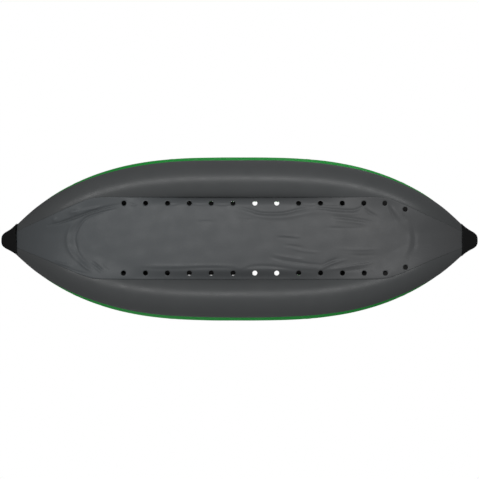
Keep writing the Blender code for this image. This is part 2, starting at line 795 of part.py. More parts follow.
def build_straps():
    for side, prefix in ((1, "port"), (-1, "starboard")):
        for x, place, forward, height in (
            (FRONT_RING_X, "front", -1, STRAP_ON_BACK),
            (REAR_RING_X, "rear", 1, STRAP_ON_BACK - 0.06),
        ):
            name = f"{prefix}_{place}_strap"
            points, across = strap_path(side, x, forward, height)
            ribbon(name, points, across, STRAP_WIDTH, STRAP_THICKNESS, "webbing_black")
            frame = ring_frame(side, x, forward) @ Matrix.Translation((RING_DEPTH + 0.044, 0, 0))
            build_buckle(f"{name}_buckle", frame)


def build_buckle(name, frame):
    """A flat adjuster with a slot that both runs of the strap pass through."""
    buckle = box_object(name, (0.026, 0.030, 0.0085), (0, 0, 0), "valve_black", frame, bevel=0.0015)
    slot = box_object(f"{name}_slot", (0.060, 0.0212, 0.0053), (0, 0, 0), "valve_black", frame)
    hide_cutter(slot)
    cut(buckle, slot)


# ---------------------------------------------------------------- handles


def build_handles():
    """Each carry handle is a loop of cord through a moulded grip. The loop turns in two keepers on the deck."""
    for end, prefix in ((1, "bow"), (-1, "stern")):
        outer = deck_frame(end * HANDLE_X)
        for place in (-HANDLE_KEEPER_Y, HANDLE_KEEPER_Y):
            weld_keeper(
                bpy.data.objects[f"{prefix}_deck_panel"], outer, HANDLE_CORD, HANDLE_HEIGHT, 0.020, place
            )
        frame = outer @ Matrix.Translation((0, 0, HANDLE_HEIGHT))
        rise = GRIP_RADIUS + 0.0008 - HANDLE_HEIGHT
        half = (
            (0.000, 0.000), (0.000, 0.030), (0.000, 0.060), (0.003, 0.067), (0.010, 0.070),
            (0.030, 0.069), (0.050, 0.066), (0.062, 0.061), (0.069, 0.053), (0.070, 0.044), (0.070, 0.020),
        )  # fmt: skip
        half = [(x, y, rise * x / HANDLE_REACH) for x, y in half]
        points = half + [(x, -y, z) for x, y, z in reversed(half[1:])]
        wire(f"{prefix}_handle_cord", points, HANDLE_CORD, "webbing_black", frame, closed=True)
        grip = frame @ Matrix.Translation((HANDLE_REACH, 0, rise)) @ Matrix.Rotation(-pi / 2, 4, "X")
        length = GRIP_HALF_LENGTH
        profile = (
            (0.0120, length), (GRIP_RADIUS, length - 0.003), (0.0125, 0.0),
            (GRIP_RADIUS, -length + 0.003), (0.0120, -length), (0.0050, -length), (0.0050, length),
        )  # fmt: skip
        turned(f"{prefix}_handle_grip", profile, "rubber_black", grip, steps=12)


def build_kayak():
    build_tubes()
    build_bottom()
    build_mattress()
    build_caps()
    build_decks()
    build_valves()
    build_seat_rings()
    build_tie_rings()
    build_seat()
    build_straps()
    build_handles()


clear_scene()
KAYAK = new_collection("Inflatable kayak")
CUTTERS = new_collection("Cutters")
build_kayak()
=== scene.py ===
"""Looks of a solo self-bailing inflatable kayak, seen from beneath.

Metres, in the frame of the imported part: bow at +X, port at +Y, standing on z = 0. The hull follows the same
formulas as the part's solids, so each fine piece here lies where its plain solid is.
"""

from contextlib import contextmanager
from math import cos, pi, radians, sin, sqrt

import bmesh
import bpy
import numpy as np
from mathutils import Matrix, Vector


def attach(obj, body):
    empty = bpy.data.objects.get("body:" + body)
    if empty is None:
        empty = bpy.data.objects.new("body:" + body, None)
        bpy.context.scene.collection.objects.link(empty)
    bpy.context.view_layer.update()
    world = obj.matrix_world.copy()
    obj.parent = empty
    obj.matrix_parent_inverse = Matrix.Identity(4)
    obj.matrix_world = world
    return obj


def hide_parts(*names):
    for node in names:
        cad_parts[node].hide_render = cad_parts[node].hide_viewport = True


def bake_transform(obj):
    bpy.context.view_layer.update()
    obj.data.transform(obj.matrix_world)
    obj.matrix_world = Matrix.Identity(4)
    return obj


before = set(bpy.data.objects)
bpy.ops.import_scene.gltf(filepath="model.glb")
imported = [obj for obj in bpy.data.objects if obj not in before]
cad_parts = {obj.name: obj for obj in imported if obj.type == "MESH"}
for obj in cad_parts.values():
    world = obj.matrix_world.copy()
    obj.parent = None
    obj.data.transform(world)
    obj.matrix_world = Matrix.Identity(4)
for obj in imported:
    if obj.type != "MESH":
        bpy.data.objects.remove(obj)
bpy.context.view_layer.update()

# The boat's form, in which the sizes of whole parts are those of the part's source
LENGTH = 2.900
BEAM = 0.951
OUTLINE_POWER = 3.0
OUTLINE_FULLNESS = 1.06
TUBE_RADIUS = 0.1315
TUBE_BLEND = 0.030
KEEL_CLEARANCE = 0.0014
RISE_START = 0.35
RISE_POWER = 1.8
END_RISE = 0.130
SKIN = 0.0012
GAP = 0.0004
CENTRE_GAP = 0.0012
HALF_LENGTH = LENGTH / 2
CAP_LENGTH = 0.114
COVER_END = HALF_LENGTH - CAP_LENGTH - 0.002
TUBE_JOINTS = (-0.960, -0.400, 0.400, 0.960)
SHEET_EDGE = 0.236
SHEET_LEVEL_X = 1.29  # from here to its ends the sheet lies level across
EDGE_SUNK = 0.0010  # how far the sheet's edge is pressed in at its ends
SHEET_INBOARD = 0.12
PANEL_LIFT = 0.0019
TAPE_HALF_WIDTH = 0.0125
TAPE_BEVEL = 0.0006
TAPE_THICKNESS = 0.00055
TUBE_RIPPLE = 0.0004
PANEL_RIPPLE = 0.0003
SEAM_PUCKER = 0.00035
END_PUCKER = 0.0009
OUTBOARD_SEAM = radians(-36.0)
SEAM_ERROR = radians(1.4)
INBOARD_SEAM = radians(-169.5)
SEAM_TWIST = radians(70)
FLOOR_LIFT = 0.0155
KNEE = 0.021
HOLE_COUNT = 14
HOLE_PITCH = 0.1250
FIRST_HOLE_X = -0.662
HOLE_CLOSE_UP = 0.0013
HOLE_Y = 0.200
HOLE_MARGIN = 0.026
HOLE_RADIUS = 0.0142
MATTRESS_HALF_LENGTH = 1.020
MATTRESS_HALF_WIDTH = 0.2125
MATTRESS_THICKNESS = 0.085
NOTCH_MIDDLE_X = 0.150
NOTCH_HALF_LENGTH = 0.150
NOTCH_DEPTH = 0.032
CAP_TIP_HALF_WIDTH = 0.0427
CAP_FLARE = 0.234
CAP_SWELL = 2.2
CAP_NOSE = 0.045
CAP_HEIGHT_SHARE = 0.60
CAP_WALL = 0.0022
CAP_SHAPE = 3.0
VALVE_X = -0.620
VALVE_ANGLE = radians(100)
VALVE_HINGE = 0.0335
VALVE_HOLE = 0.0236
FLOOR_VALVE_X = 0.780
RELIEF_X = -0.820
SEAT_FRONT = 0.020
SEAT_REAR = -0.375
SEAT_HALF_WIDTH = 0.182
SEAT_THICKNESS = 0.060
BACK_HINGE_X = -0.382
BACK_HEIGHT = 0.345
BACK_THICKNESS = 0.045
BACK_LEAN = radians(12)
BACK_SET = 0.004  # from the hinge to the seat back
MOST_SWELL = 0.014  # of a cushion's cover
PIPING = 0.0028
STRAP_ON_BACK = 0.270
RING_ANGLE = radians(118)
FRONT_RING_X = 0.150
REAR_RING_X = -0.860
RING_WIRE = 0.00275
RING_HALF_WIDTH = 0.020
RING_DEPTH = 0.024
RING_LEAN = radians(14)
RING_HEIGHT = 0.0034
PATCH_RADIUS = 0.045
PATCH_LIFT = 0.0016
PATCH_SKIN = 0.0014
PATCH_TOP = PATCH_LIFT + PATCH_SKIN
STRAP_WIDTH = 0.020
STRAP_THICKNESS = 0.0016
DECK_START = 1.020
DECK_LIFT = 0.0012
HEM = 0.0005
HANDLE_X = 1.150
HANDLE_KEEPER_Y = 0.042
HANDLE_REACH = 0.070
HANDLE_CORD = 0.004
HANDLE_HEIGHT = 0.0048
GRIP_RADIUS = 0.014
GRIP_HALF_LENGTH = 0.042
DECK_RING_X = 1.075

SIDES = ((1, "port"), (-1, "starboard"))
ENDS = ((1, "bow"), (-1, "stern"))
# Each seat strap: side, name, ring's place, which way it points, and height on the seat back
STRAPS = [
    (side, f"{prefix}_{place}", *values)
    for side, prefix in SIDES
    for place, *values in (
        ("front", FRONT_RING_X, -1, STRAP_ON_BACK), ("rear", REAR_RING_X, 1, STRAP_ON_BACK - 0.06),
    )
]  # fmt: skip

# How fine the pieces are, and their colours
CLOTH_STEP = 0.0055  # between points of the bottom sheet
TUBE_SIDES = 96
BANDS = 3.1831  # of a wave texture in one metre, at scale 1
GREEN = (0.007, 0.295, 0.036)
HULL_GREY = (0.077, 0.081, 0.083)
SHEET_GREY = (0.087, 0.090, 0.093)
SHEET_WORN = (0.104, 0.106, 0.108)
SHEET_COOL = (0.086, 0.098, 0.106)
FLOOR_GREY = (0.150, 0.155, 0.160)
BLACK_RUBBER = (0.0085, 0.0085, 0.0088)
BLACK_PLASTIC = (0.014, 0.014, 0.015)
SEAT_BLACK = (0.026, 0.027, 0.030)
WEBBING = (0.013, 0.013, 0.014)
THREAD = (0.16, 0.165, 0.17)
STEEL = (0.60, 0.60, 0.59)


# The hull's form, for numbers and arrays


def share(x):
    return np.minimum(np.abs(x) / HALF_LENGTH, 1.0)


def smooth_min(a, b, blend):
    return (a + b - np.sqrt((a - b) ** 2 + blend**2)) / 2


def smooth_step(value, low, high):
    t = np.clip((value - low) / (high - low), 0.0, 1.0)
    return t * t * (3 - 2 * t)


def groove(distance, half_width, depth):
    """A rounded groove or bead: its depth at a distance from its middle."""
    return depth * np.exp(-((distance / half_width) ** 2))


def half_beam(x):
    return BEAM / 2 * (1 - share(x) ** OUTLINE_POWER) ** OUTLINE_FULLNESS


def tube_radius(x):
    return smooth_min(TUBE_RADIUS, half_beam(x) / 2 - CENTRE_GAP, TUBE_BLEND)


def tube_centre(x):
    rise = np.maximum(0.0, (share(x) - RISE_START) / (1 - RISE_START)) ** RISE_POWER
    top = KEEL_CLEARANCE + 2 * tube_radius(0.0) + END_RISE * rise
    return half_beam(x) - tube_radius(x), top - tube_radius(x)


def tube_points(side, x, angle, lift=0.0):
    """Points on a tube, from arrays that broadcast: angle 0 is outboard, 90 degrees on top."""
    y, z = tube_centre(x)
    radius = tube_radius(x) + lift
    out, up = radius * np.cos(angle), radius * np.sin(angle)
    return np.stack(np.broadcast_arrays(x, side * (y + out), z + up), -1)


def tube_point(side, x, angle, lift=0.0):
    return Vector(tube_points(side, x, angle, lift))


def axes(x_axis, z_axis):
    return Matrix((x_axis, z_axis.cross(x_axis).normalized(), z_axis)).transposed().to_4x4()


def tube_frame(side, x, angle, lift, forward):
    """Axes on a tube's surface: Z outward, X along the tube, towards the bow if forward is 1."""
    step = 0.01
    along = (tube_point(side, x + step, angle) - tube_point(side, x - step, angle)).normalized() * forward
    origin = tube_point(side, x, angle, lift)
    around = tube_point(side, x, angle + step) - tube_point(side, x, angle - step)
    normal = along.cross(around).normalized()
    if normal.dot(origin - Vector((x, side * tube_centre(x)[0], tube_centre(x)[1]))) < 0:
        normal.negate()
    return Matrix.Translation(origin) @ axes(along, normal)


def mattress_half_width(x, notched=True):
    half = MATTRESS_THICKNESS / 2
    y, z = tube_centre(x)
    reach = tube_radius(x) + half + 0.004
    drop = z - (floor_height(x) + SKIN + GAP + half)
    beside_tubes = y - np.sqrt(np.maximum(reach**2 - drop**2, 0.0)) + half
    from_notch = np.abs(x - NOTCH_MIDDLE_X) / NOTCH_HALF_LENGTH
    notch = NOTCH_DEPTH * (1 - smooth_step(from_notch, 0.75, 1.15)) if notched else 0.0
    end = np.sqrt(np.maximum(1 - (x / MATTRESS_HALF_LENGTH) ** 10, 0.0))
    return np.maximum(smooth_min(MATTRESS_HALF_WIDTH - notch, beside_tubes, 0.01) * end, half + 0.003)


def floor_height(x):
    """The height of the bottom sheet's lower face on the centreline."""
    _, z = tube_centre(x)
    return z - tube_radius(x) + FLOOR_LIFT


def floor_top(x):
    return floor_height(x) + SKIN + GAP + 0.0006 + MATTRESS_THICKNESS


def floor_frame(x):
    step = 0.03
    slope = (floor_top(x + step) - floor_top(x - step)) / (2 * step)
    along = Vector((1, 0, slope)).normalized()
    normal = Vector((-slope, 0, 1)).normalized()
    return Matrix.Translation((x, 0, floor_top(x) + 0.0004)) @ axes(along, normal)


def deck_height(x):
    return tube_centre(x)[1] + tube_radius(x) + DECK_LIFT + PATCH_SKIN


def deck_frame(x):
    """Axes on a deck panel: Z outward, X towards the nearer end of the boat."""
    end = 1 if x > 0 else -1
    step = 0.02
    slope = (deck_height(x + end * step) - deck_height(x - end * step)) / (2 * step)
    along = Vector((end, 0, slope)).normalized()
    normal = Vector((-slope * end, 0, 1)).normalized()
    return Matrix.Translation((x, 0, deck_height(x))) @ axes(along, normal)


def back_frame():
    """The seat back's axes: origin on its hinge, Z up the back."""
    hinge = Vector((BACK_HINGE_X, 0, floor_top(SEAT_REAR) + SEAT_THICKNESS + 0.006))
    return Matrix.Translation(hinge) @ Matrix.Rotation(-BACK_LEAN, 4, "Y")


def ring_frame(side, x, forward):
    """A seat ring's axes: its bar along Y at the origin, its bow towards X."""
    placed = tube_frame(side, x, RING_ANGLE, PATCH_TOP, forward)
    return placed @ Matrix.Translation((0, 0, RING_HEIGHT)) @ Matrix.Rotation(-RING_LEAN, 4, "Y")


# Materials


def put(node, **values):
    """Sets a node's inputs, each by its name with its spaces as underscores."""
    for name, value in values.items():
        node.inputs[name.replace("_", " ")].default_value = value


class Look:
    """A Principled material and the nodes that feed it. Places are in the object's own coordinates."""

    def __init__(self, name, colour, roughness, metallic=0.0, specular=0.5):
        self.material = bpy.data.materials.new(name)
        self.material.use_nodes = True
        self.nodes = self.material.node_tree.nodes
        self.links = self.material.node_tree.links
        self.shader = self.nodes["Principled BSDF"]
        put(self.shader, Base_Color=(*colour, 1.0), Roughness=roughness, Metallic=metallic)
        put(self.shader, Specular_IOR_Level=specular)
        self.place = self.add("ShaderNodeTexCoord").outputs["Object"]
        self.normal = None

    def add(self, kind, **values):
        node = self.nodes.new(kind)
        for key, value in values.items():
            setattr(node, key, value)
        return node

    def noise(self, scale, detail=3.0, roughness=0.55, stretch=(1, 1, 1)):
        mapping = self.add("ShaderNodeMapping")
        put(mapping, Scale=stretch)
        self.links.new(self.place, mapping.inputs["Vector"])
        node = self.add("ShaderNodeTexNoise")
        put(node, Scale=scale, Detail=detail, Roughness=roughness)
        self.links.new(mapping.outputs["Vector"], node.inputs["Vector"])
        return node.outputs["Fac"]

    def wave(self, pitch, direction, place=None):
        """Bands that follow each other at a pitch."""
        node = self.add("ShaderNodeTexWave", wave_type="BANDS", bands_direction=direction, wave_profile="SIN")
        put(node, Scale=1 / (pitch * BANDS))
        self.links.new(place or self.place, node.inputs["Vector"])
        return node.outputs["Fac"]

    def math(self, operation, a, b, clamp=False):
        node = self.add("ShaderNodeMath", operation=operation, use_clamp=clamp)
        for socket, value in zip(node.inputs, (a, b)):
            if isinstance(value, (int, float)):
                socket.default_value = value
            else:
                self.links.new(value, socket)
        return node.outputs[0]

    def spread(self, factor, low, high, start=0.3, end=0.7):
        """Low where the factor is start or less, high where it is end or more."""
        node = self.add("ShaderNodeMapRange", clamp=True)
        self.links.new(factor, node.inputs["Value"])
        put(node, From_Min=start, From_Max=end, To_Min=low, To_Max=high)
        return node.outputs["Result"]

    def tint(self, factor, colour, amount):
        """Mixes another colour over what is there, as far as factor says."""
        target = self.shader.inputs["Base Color"]
        node = self.add("ShaderNodeMix", data_type="RGBA")
        if target.is_linked:
            self.links.new(target.links[0].from_socket, node.inputs[6])
        else:
            node.inputs[6].default_value = target.default_value
        node.inputs[7].default_value = (*colour, 1.0)
        self.links.new(self.math("MULTIPLY", factor, amount, clamp=True), node.inputs[0])
        self.links.new(node.outputs[2], target)
        return self

    def mottle(self, factor, colour, amount, start, end):
        """Mixes a colour in, from where the factor is start to where it is end."""
        return self.tint(self.spread(factor, 0.0, 1.0, start, end), colour, amount)

    def rough(self, factor, low, high):
        self.links.new(self.spread(factor, low, high), self.shader.inputs["Roughness"])

    def bump(self, height, strength, distance):
        node = self.add("ShaderNodeBump")
        put(node, Strength=strength, Distance=distance)
        self.links.new(height, node.inputs["Height"])
        if self.normal:
            self.links.new(self.normal, node.inputs["Normal"])
        self.normal = node.outputs["Normal"]
        self.links.new(self.normal, self.shader.inputs["Normal"])
        return self


def weave(look, pitch, strength, depth):
    """Threads that cross at right angles, as bump. Pitch is the distance from thread to thread."""
    threads = look.math("MAXIMUM", look.wave(pitch, "X"), look.wave(pitch, "Y"))
    return look.bump(threads, strength, depth)


def coated_fabric(name, colour, light, dark, roughness, cool=None):
    """PVC-coated fabric: a fine base cloth under a satin coat, with handling marks and scuffs.

    Cool is a colour that it turns to towards the stern.
    """
    look = Look(name, colour, roughness, specular=0.42)
    look.mottle(look.noise(2.2, 4.0, 0.6), light, 0.35, 0.42, 0.68)
    look.mottle(look.noise(5.0), dark, 0.30, 0.5, 0.75)
    if cool:
        along = look.add("ShaderNodeSeparateXYZ")
        look.links.new(look.place, along.inputs[0])
        look.tint(look.spread(along.outputs["X"], 1.0, 0.0, -0.9, 0.7), cool, 0.6)
    look.mottle(look.noise(38.0, 5.0, 0.7, stretch=(0.25, 1.0, 1.0)), light, 0.45, 0.66, 0.80)
    look.rough(look.noise(14.0, 4.0), roughness - 0.05, roughness + 0.09)
    look.bump(look.noise(90.0), 0.10, 0.0006)
    look.bump(look.noise(16.0), 0.10, 0.0015)
    return weave(look, 0.0011, 0.12, 0.0002).material


def moulded_rubber(name, colour, roughness=0.62):
    look = Look(name, colour, roughness, specular=0.35)
    look.mottle(look.noise(60.0, 5.0, 0.7), (0.030, 0.030, 0.030), 0.5, 0.60, 0.78)
    look.rough(look.noise(20.0, 4.0), roughness - 0.08, roughness + 0.12)
    look.bump(look.noise(420.0, 2.0), 0.25, 0.0003)
    return look.bump(look.noise(30.0), 0.12, 0.0012).material


def moulded_plastic(name, colour, roughness=0.38):
    look = Look(name, colour, roughness, specular=0.5)
    look.mottle(look.noise(120.0, 4.0), (0.040, 0.040, 0.042), 0.5, 0.62, 0.80)
    look.rough(look.noise(45.0), roughness - 0.06, roughness + 0.14)
    return look.bump(look.noise(700.0, 2.0), 0.22, 0.0002).material


def seat_cloth(name, colour):
    """Heavy woven polyester with a soft bloom, and lint and wear that lighten it in random patches and
    specks.
    """
    look = Look(name, colour, 0.88, specular=0.22)
    put(look.shader, Sheen_Weight=0.25, Sheen_Roughness=0.5)
    look.mottle(look.noise(9.0, 4.0), (0.045, 0.047, 0.052), 0.55, 0.40, 0.70)
    look.mottle(look.noise(420.0, 2.0), (0.075, 0.078, 0.085), 0.40, 0.55, 0.80)
    look.rough(look.noise(30.0), 0.80, 0.96)
    look.bump(look.noise(24.0), 0.20, 0.0025)
    return weave(look, 0.0016, 0.55, 0.0006).material


def woven_strap(name, colour):
    """Webbing: ribs across the strap, and rows of threads along it. Its places come from the strap itself."""
    look = Look(name, colour, 0.80, specular=0.25)
    strap = look.add("ShaderNodeAttribute", attribute_name="along_strap").outputs["Vector"]
    ribs = look.wave(0.0022, "X", strap)
    rows = look.wave(0.0018, "Y", strap)
    look.mottle(ribs, (0.032, 0.032, 0.034), 0.55, 0.4, 0.9)
    look.mottle(look.noise(200.0), (0.055, 0.055, 0.058), 0.45, 0.6, 0.8)
    look.rough(look.noise(60.0, 2.0), 0.72, 0.92)
    look.bump(ribs, 0.7, 0.0006)
    return look.bump(rows, 0.35, 0.0004).material


def braided_cord(name, colour):
    look = Look(name, colour, 0.78, specular=0.25)
    strap = look.add("ShaderNodeAttribute", attribute_name="along_strap").outputs["Vector"]
    twist = look.wave(0.0040, "DIAGONAL", strap)
    look.tint(twist, (0.040, 0.040, 0.043), 0.6)
    look.rough(look.noise(90.0, 2.0), 0.70, 0.90)
    return look.bump(twist, 0.9, 0.0010).material


def bright_steel(name, colour):
    look = Look(name, colour, 0.24, metallic=1.0)
    look.mottle(look.noise(150.0, 4.0), (0.42, 0.42, 0.41), 0.6, 0.45, 0.75)
    look.rough(look.noise(300.0, 3.0, stretch=(1, 6, 1)), 0.18, 0.36)
    return look.bump(look.noise(500.0, 2.0, stretch=(1, 8, 1)), 0.10, 0.0002).material


def seam_thread(name, colour):
    look = Look(name, colour, 0.7, specular=0.3)
    look.tint(look.noise(900.0, 2.0), (0.08, 0.08, 0.085), 0.6)
    return look.bump(look.noise(1400.0, 2.0), 0.5, 0.0002).material


LOOKS = {
    name: make(name, *values)
    for name, make, *values in (
        ("tube_green", coated_fabric, GREEN, (0.012, 0.34, 0.048), (0.005, 0.24, 0.026), 0.40),
        ("hull_grey", coated_fabric, HULL_GREY, (0.092, 0.096, 0.098), (0.066, 0.069, 0.071), 0.35),
        ("sheet_grey", coated_fabric, SHEET_GREY, SHEET_WORN, (0.084, 0.086, 0.088), 0.45, SHEET_COOL),
        ("floor_grey", coated_fabric, FLOOR_GREY, (0.19, 0.195, 0.20), (0.11, 0.115, 0.12), 0.50),
        # Near-black for faces that show only through the drain holes: painted shade there, and on the
        # mattress also its side tape
        ("lining_black", coated_fabric, (0.004,) * 3, (0.008,) * 3, (0.002,) * 3, 0.7),
        ("rubber_black", moulded_rubber, BLACK_RUBBER),
        ("patch_black", coated_fabric, BLACK_PLASTIC, (0.026, 0.026, 0.027), (0.009,) * 3, 0.52),
        ("valve_black", moulded_plastic, BLACK_PLASTIC),
        ("seat_fabric", seat_cloth, SEAT_BLACK),
        ("webbing_black", woven_strap, WEBBING),
        ("cord_black", braided_cord, WEBBING),
        ("thread", seam_thread, THREAD),
        ("steel", bright_steel, STEEL),
    )
}


# Meshes


def added(name, data):
    """A new object in the scene, of a mesh, a light or a camera."""
    obj = bpy.data.objects.new(name, data)
    bpy.context.scene.collection.objects.link(obj)
    return obj


def piece_from(name, mesh, look, body="hull", replaces=(), ride=True):
    mesh.name = name
    mesh.materials.append(LOOKS[look])
    mesh.shade_smooth()
    obj = added(name, mesh)
    if ride:
        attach(obj, body)
    if replaces:
        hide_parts(*replaces)
    return obj


def grid_mesh(grid, ring=False, ends=False, flip=False):
    """A mesh through a grid of points. A ring joins its last column to its first, and ends closes it."""
    grid = np.asarray(grid, float)
    rows, columns = grid.shape[:2]
    index = np.arange(rows * columns).reshape(rows, columns)
    if ring:
        index = np.concatenate([index, index[:, :1]], axis=1)
    quads = np.stack([index[:-1, :-1], index[1:, :-1], index[1:, 1:], index[:-1, 1:]], -1).reshape(-1, 4)
    faces = (quads[:, ::-1] if flip else quads).tolist()
    if ends:
        first, last = index[0, :columns].tolist(), index[-1, :columns].tolist()
        faces += [first[::-1], last] if flip else [first, last[::-1]]
    mesh = bpy.data.meshes.new("piece")
    mesh.from_pydata(grid.reshape(-1, 3).tolist(), [], faces)
    mesh.update()
    return mesh


@contextmanager
def editing(mesh):
    """The mesh as a BMesh, written back at the end."""
    bm = bmesh.new()
    bm.from_mesh(mesh)
    yield bm
    bm.to_mesh(mesh)
    bm.free()


def face_out(mesh):
    """Turns the faces of a closed mesh to look outward."""
    with editing(mesh) as bm:
        bmesh.ops.recalc_face_normals(bm, faces=bm.faces)
    return mesh


def weld(mesh):
    """Makes one of the points that lie in the same place."""
    with editing(mesh) as bm:
        bmesh.ops.remove_doubles(bm, verts=bm.verts, dist=1e-6)
    return mesh


def merge(first, *others):
    with editing(first) as bm:
        for mesh in others:
            bm.from_mesh(mesh)
    return first


def turns(count):
    """The angles of a full turn in equal steps."""
    return [2 * pi * j / count for j in range(count)]


def solidify(obj, thickness, offset):
    modifier = obj.modifiers.new("Skin", "SOLIDIFY")
    modifier.thickness = thickness
    modifier.offset = offset


def sharpen(mesh):
    mesh.set_sharp_from_angle(angle=radians(38))
    return mesh


def line(mesh, hidden):
    """Makes the faces black whose centres are hidden. Where they show through the drain holes, this black is
    painted shade.
    """
    mesh.materials.append(LOOKS["lining_black"])
    centres = np.empty(len(mesh.polygons) * 3)
    mesh.polygons.foreach_get("center", centres)
    mesh.polygons.foreach_set("material_index", hidden(*centres.reshape(-1, 3).T).astype(np.int32))


def punch(mesh, places, radius, reach):
    """Round holes: faces inside are deleted, and the hole's rim is drawn to a circle.

    Places are frames whose Z goes through the sheet, and reach is how far from their origin it still cuts.
    """
    with editing(mesh) as bm:
        bm.faces.ensure_lookup_table()
        centres = np.array([face.calc_center_median() for face in bm.faces])
        doomed = set()
        for place in places:
            local = (centres - np.array(place.translation)) @ np.array(place.to_3x3())
            inside = (np.hypot(local[:, 0], local[:, 1]) < radius) & (np.abs(local[:, 2]) < reach)
            doomed.update(np.nonzero(inside)[0].tolist())
        bmesh.ops.delete(bm, geom=[bm.faces[i] for i in doomed], context="FACES")
        rim = [vert for vert in bm.verts if vert.is_boundary]
        for place in places:
            inverse = place.inverted()
            for vert in rim:
                local = inverse @ vert.co
                distance = sqrt(local.x**2 + local.y**2)
                if 0 < distance < radius * 1.6 and abs(local.z) < reach:
                    local.x *= radius / distance
                    local.y *= radius / distance
                    vert.co = place @ local
    return mesh


def curve_point(a, b, c, d, t):
    """A point from b to c, a share t of the way along the smooth curve through all four."""
    return 0.5 * (2 * b + (c - a) * t + (2 * a - 5 * b + 4 * c - d) * t**2 + (3 * b - a - 3 * c + d) * t**3)


def smooth_path(points, steps):
    """Points along a smooth curve that passes through the given ones."""
    path = [Vector(p) for p in points]
    path = [path[0] * 2 - path[1], *path, path[-1] * 2 - path[-2]]
    spans = zip(path, path[1:], path[2:], path[3:])
    return [*(curve_point(*span, i / steps) for span in spans for i in range(steps)), path[-2]]


def tube_along(points, radius, sides, closed=False):
    """A rod along points, with where each point lies along it and round it kept for its material."""
    points = [Vector(p) for p in points]
    count = len(points)
    along = 0.0
    grid, places = [], []
    normal = None
    for i, point in enumerate(points):
        before = points[i - 1] if closed or i else points[0]
        after = points[(i + 1) % count] if closed or i < count - 1 else points[-1]
        direction = (after - before).normalized()
        if normal is None:
            normal = direction.orthogonal().normalized()
        normal = (normal - direction * normal.dot(direction)).normalized()
        across = direction.cross(normal)
        along += (point - points[i - 1]).length if i else 0.0
        grid.append([point + (normal * cos(a) + across * sin(a)) * radius for a in turns(sides)])
        places += [(along, a * radius, 0.0) for a in turns(sides)]
    if closed:
        grid.append(grid[0])
        places += places[:sides]
    mesh = grid_mesh(grid, ring=True, ends=not closed)
    keep_places(mesh, places)
    return face_out(weld(mesh) if closed else mesh)


def keep_places(mesh, places):
    attribute = mesh.attributes.new("along_strap", "FLOAT_VECTOR", "POINT")
    attribute.data.foreach_set("vector", np.asarray(places, np.float32).ravel())


def ribbon(points, widths, width, thickness, refine=4):
    """Webbing along points, with rounded edges. Widths are the directions across it, one at each point."""
    fine = smooth_path(points, refine)
    across_fine = smooth_path(widths, refine)
    half, thick = width / 2, thickness / 2
    inner, edge = half - thick * 0.6, thick * 0.4
    outline = [(inner, thick), (0, thick), (-inner, thick), (-half, edge), (-half, -edge)]
    outline += [(-inner, -thick), (0, -thick), (inner, -thick), (half, -edge), (half, edge)]
    grid, places = [], []
    along = 0.0
    for i, (point, across) in enumerate(zip(fine, across_fine)):
        direction = (fine[min(i + 1, len(fine) - 1)] - fine[max(i - 1, 0)]).normalized()
        side = (across - direction * across.dot(direction)).normalized()
        normal = direction.cross(side)
        along += (point - fine[i - 1]).length if i else 0.0
        grid.append([point + side * a + normal * b for a, b in outline])
        places += [(along, a, b) for a, b in outline]
    mesh = grid_mesh(grid, ring=True, ends=True)
    keep_places(mesh, places)
    return face_out(mesh)


def stitches(lines, length=0.0032, pitch=0.0046):
    """Rows of stitches along lines of (point, normal) pairs, all in one mesh."""
    gauge = 0.0005
    sides = 5
    runs = []
    for line in lines:
        travelled = 0.0
        due = pitch / 2
        for (a, na), (b, _) in zip(line, line[1:]):
            span = (b - a).length
            while span > 0 and due <= travelled + span:
                middle = a.lerp(b, (due - travelled) / span)
                along = (b - a).normalized() * length / 2
                out = na * gauge * 0.6
                arch = [middle - along * 0.5 + out, middle + along * 0.5 + out]
                runs.append([middle - along, *arch, middle + along])
                due += pitch
            travelled += span
    mesh = bpy.data.meshes.new("piece")
    with editing(mesh) as bm:
        for run in runs:
            direction = (run[-1] - run[0]).normalized()
            normal = direction.orthogonal().normalized()
            across = direction.cross(normal)
            rings = []
            for point, size in zip(run, (0.35, 1.0, 1.0, 0.35)):
                spokes = [(normal * cos(a) + across * sin(a)) * gauge * size for a in turns(sides)]
                rings.append([bm.verts.new(point + spoke) for spoke in spokes])
            for near, far in zip(rings, rings[1:]):
                for j in range(sides):
                    after = (j + 1) % sides
                    bm.faces.new((near[j], near[after], far[after], far[j]))
            bm.faces.new(rings[0][::-1])
            bm.faces.new(rings[-1])
    return mesh


def turned(profile, place, sides, wobble=None):
    """A turned solid from (radius, height) points down its outer side.

    Wobble gives what to add to a radius at an angle.
    """
    grid = []
    for radius, height in profile:
        ring = []
        for a in turns(sides):
            r = max(radius, 0.00004)
            r += wobble(a, radius) if wobble and radius > 0 else 0.0
            ring.append(place @ Vector((r * cos(a), r * sin(a), height)))
        grid.append(ring)
    hollow = profile[0][0] > 0 and profile[-1][0] > 0
    if hollow:
        grid.append(grid[0])
    return face_out(weld(grid_mesh(grid, ring=True, ends=not hollow)))


def rounded_box(size, middle, place, bevel, segments=3, profile=0.5):
    mesh = bpy.data.meshes.new("piece")
    with editing(mesh) as bm:
        bmesh.ops.create_cube(bm, size=1.0)
        bmesh.ops.scale(bm, vec=Vector(size), verts=bm.verts)
        bmesh.ops.translate(bm, vec=Vector(middle), verts=bm.verts)
        edges = bm.edges[:]
        bmesh.ops.bevel(bm, geom=edges, offset=bevel, segments=segments, profile=profile, affect="EDGES")
        bmesh.ops.transform(bm, matrix=place, verts=bm.verts)
    return mesh


def rounded(profile, radius=0.0006, steps=3):
    """A profile with each corner replaced by a small arc."""
    found = [profile[0]]
    for before, corner, after in zip(profile, profile[1:], profile[2:]):
        b, c, a = Vector(before), Vector(corner), Vector(after)
        cut = min(radius, (b - c).length * 0.45, (a - c).length * 0.45)
        start = c + (b - c).normalized() * cut
        end = c + (a - c).normalized() * cut
        for i in range(steps + 1):
            t = i / steps
            found.append(tuple(start.lerp(c, t).lerp(c.lerp(end, t), t)))
    return [*found, profile[-1]]


# Tubes and wear panels


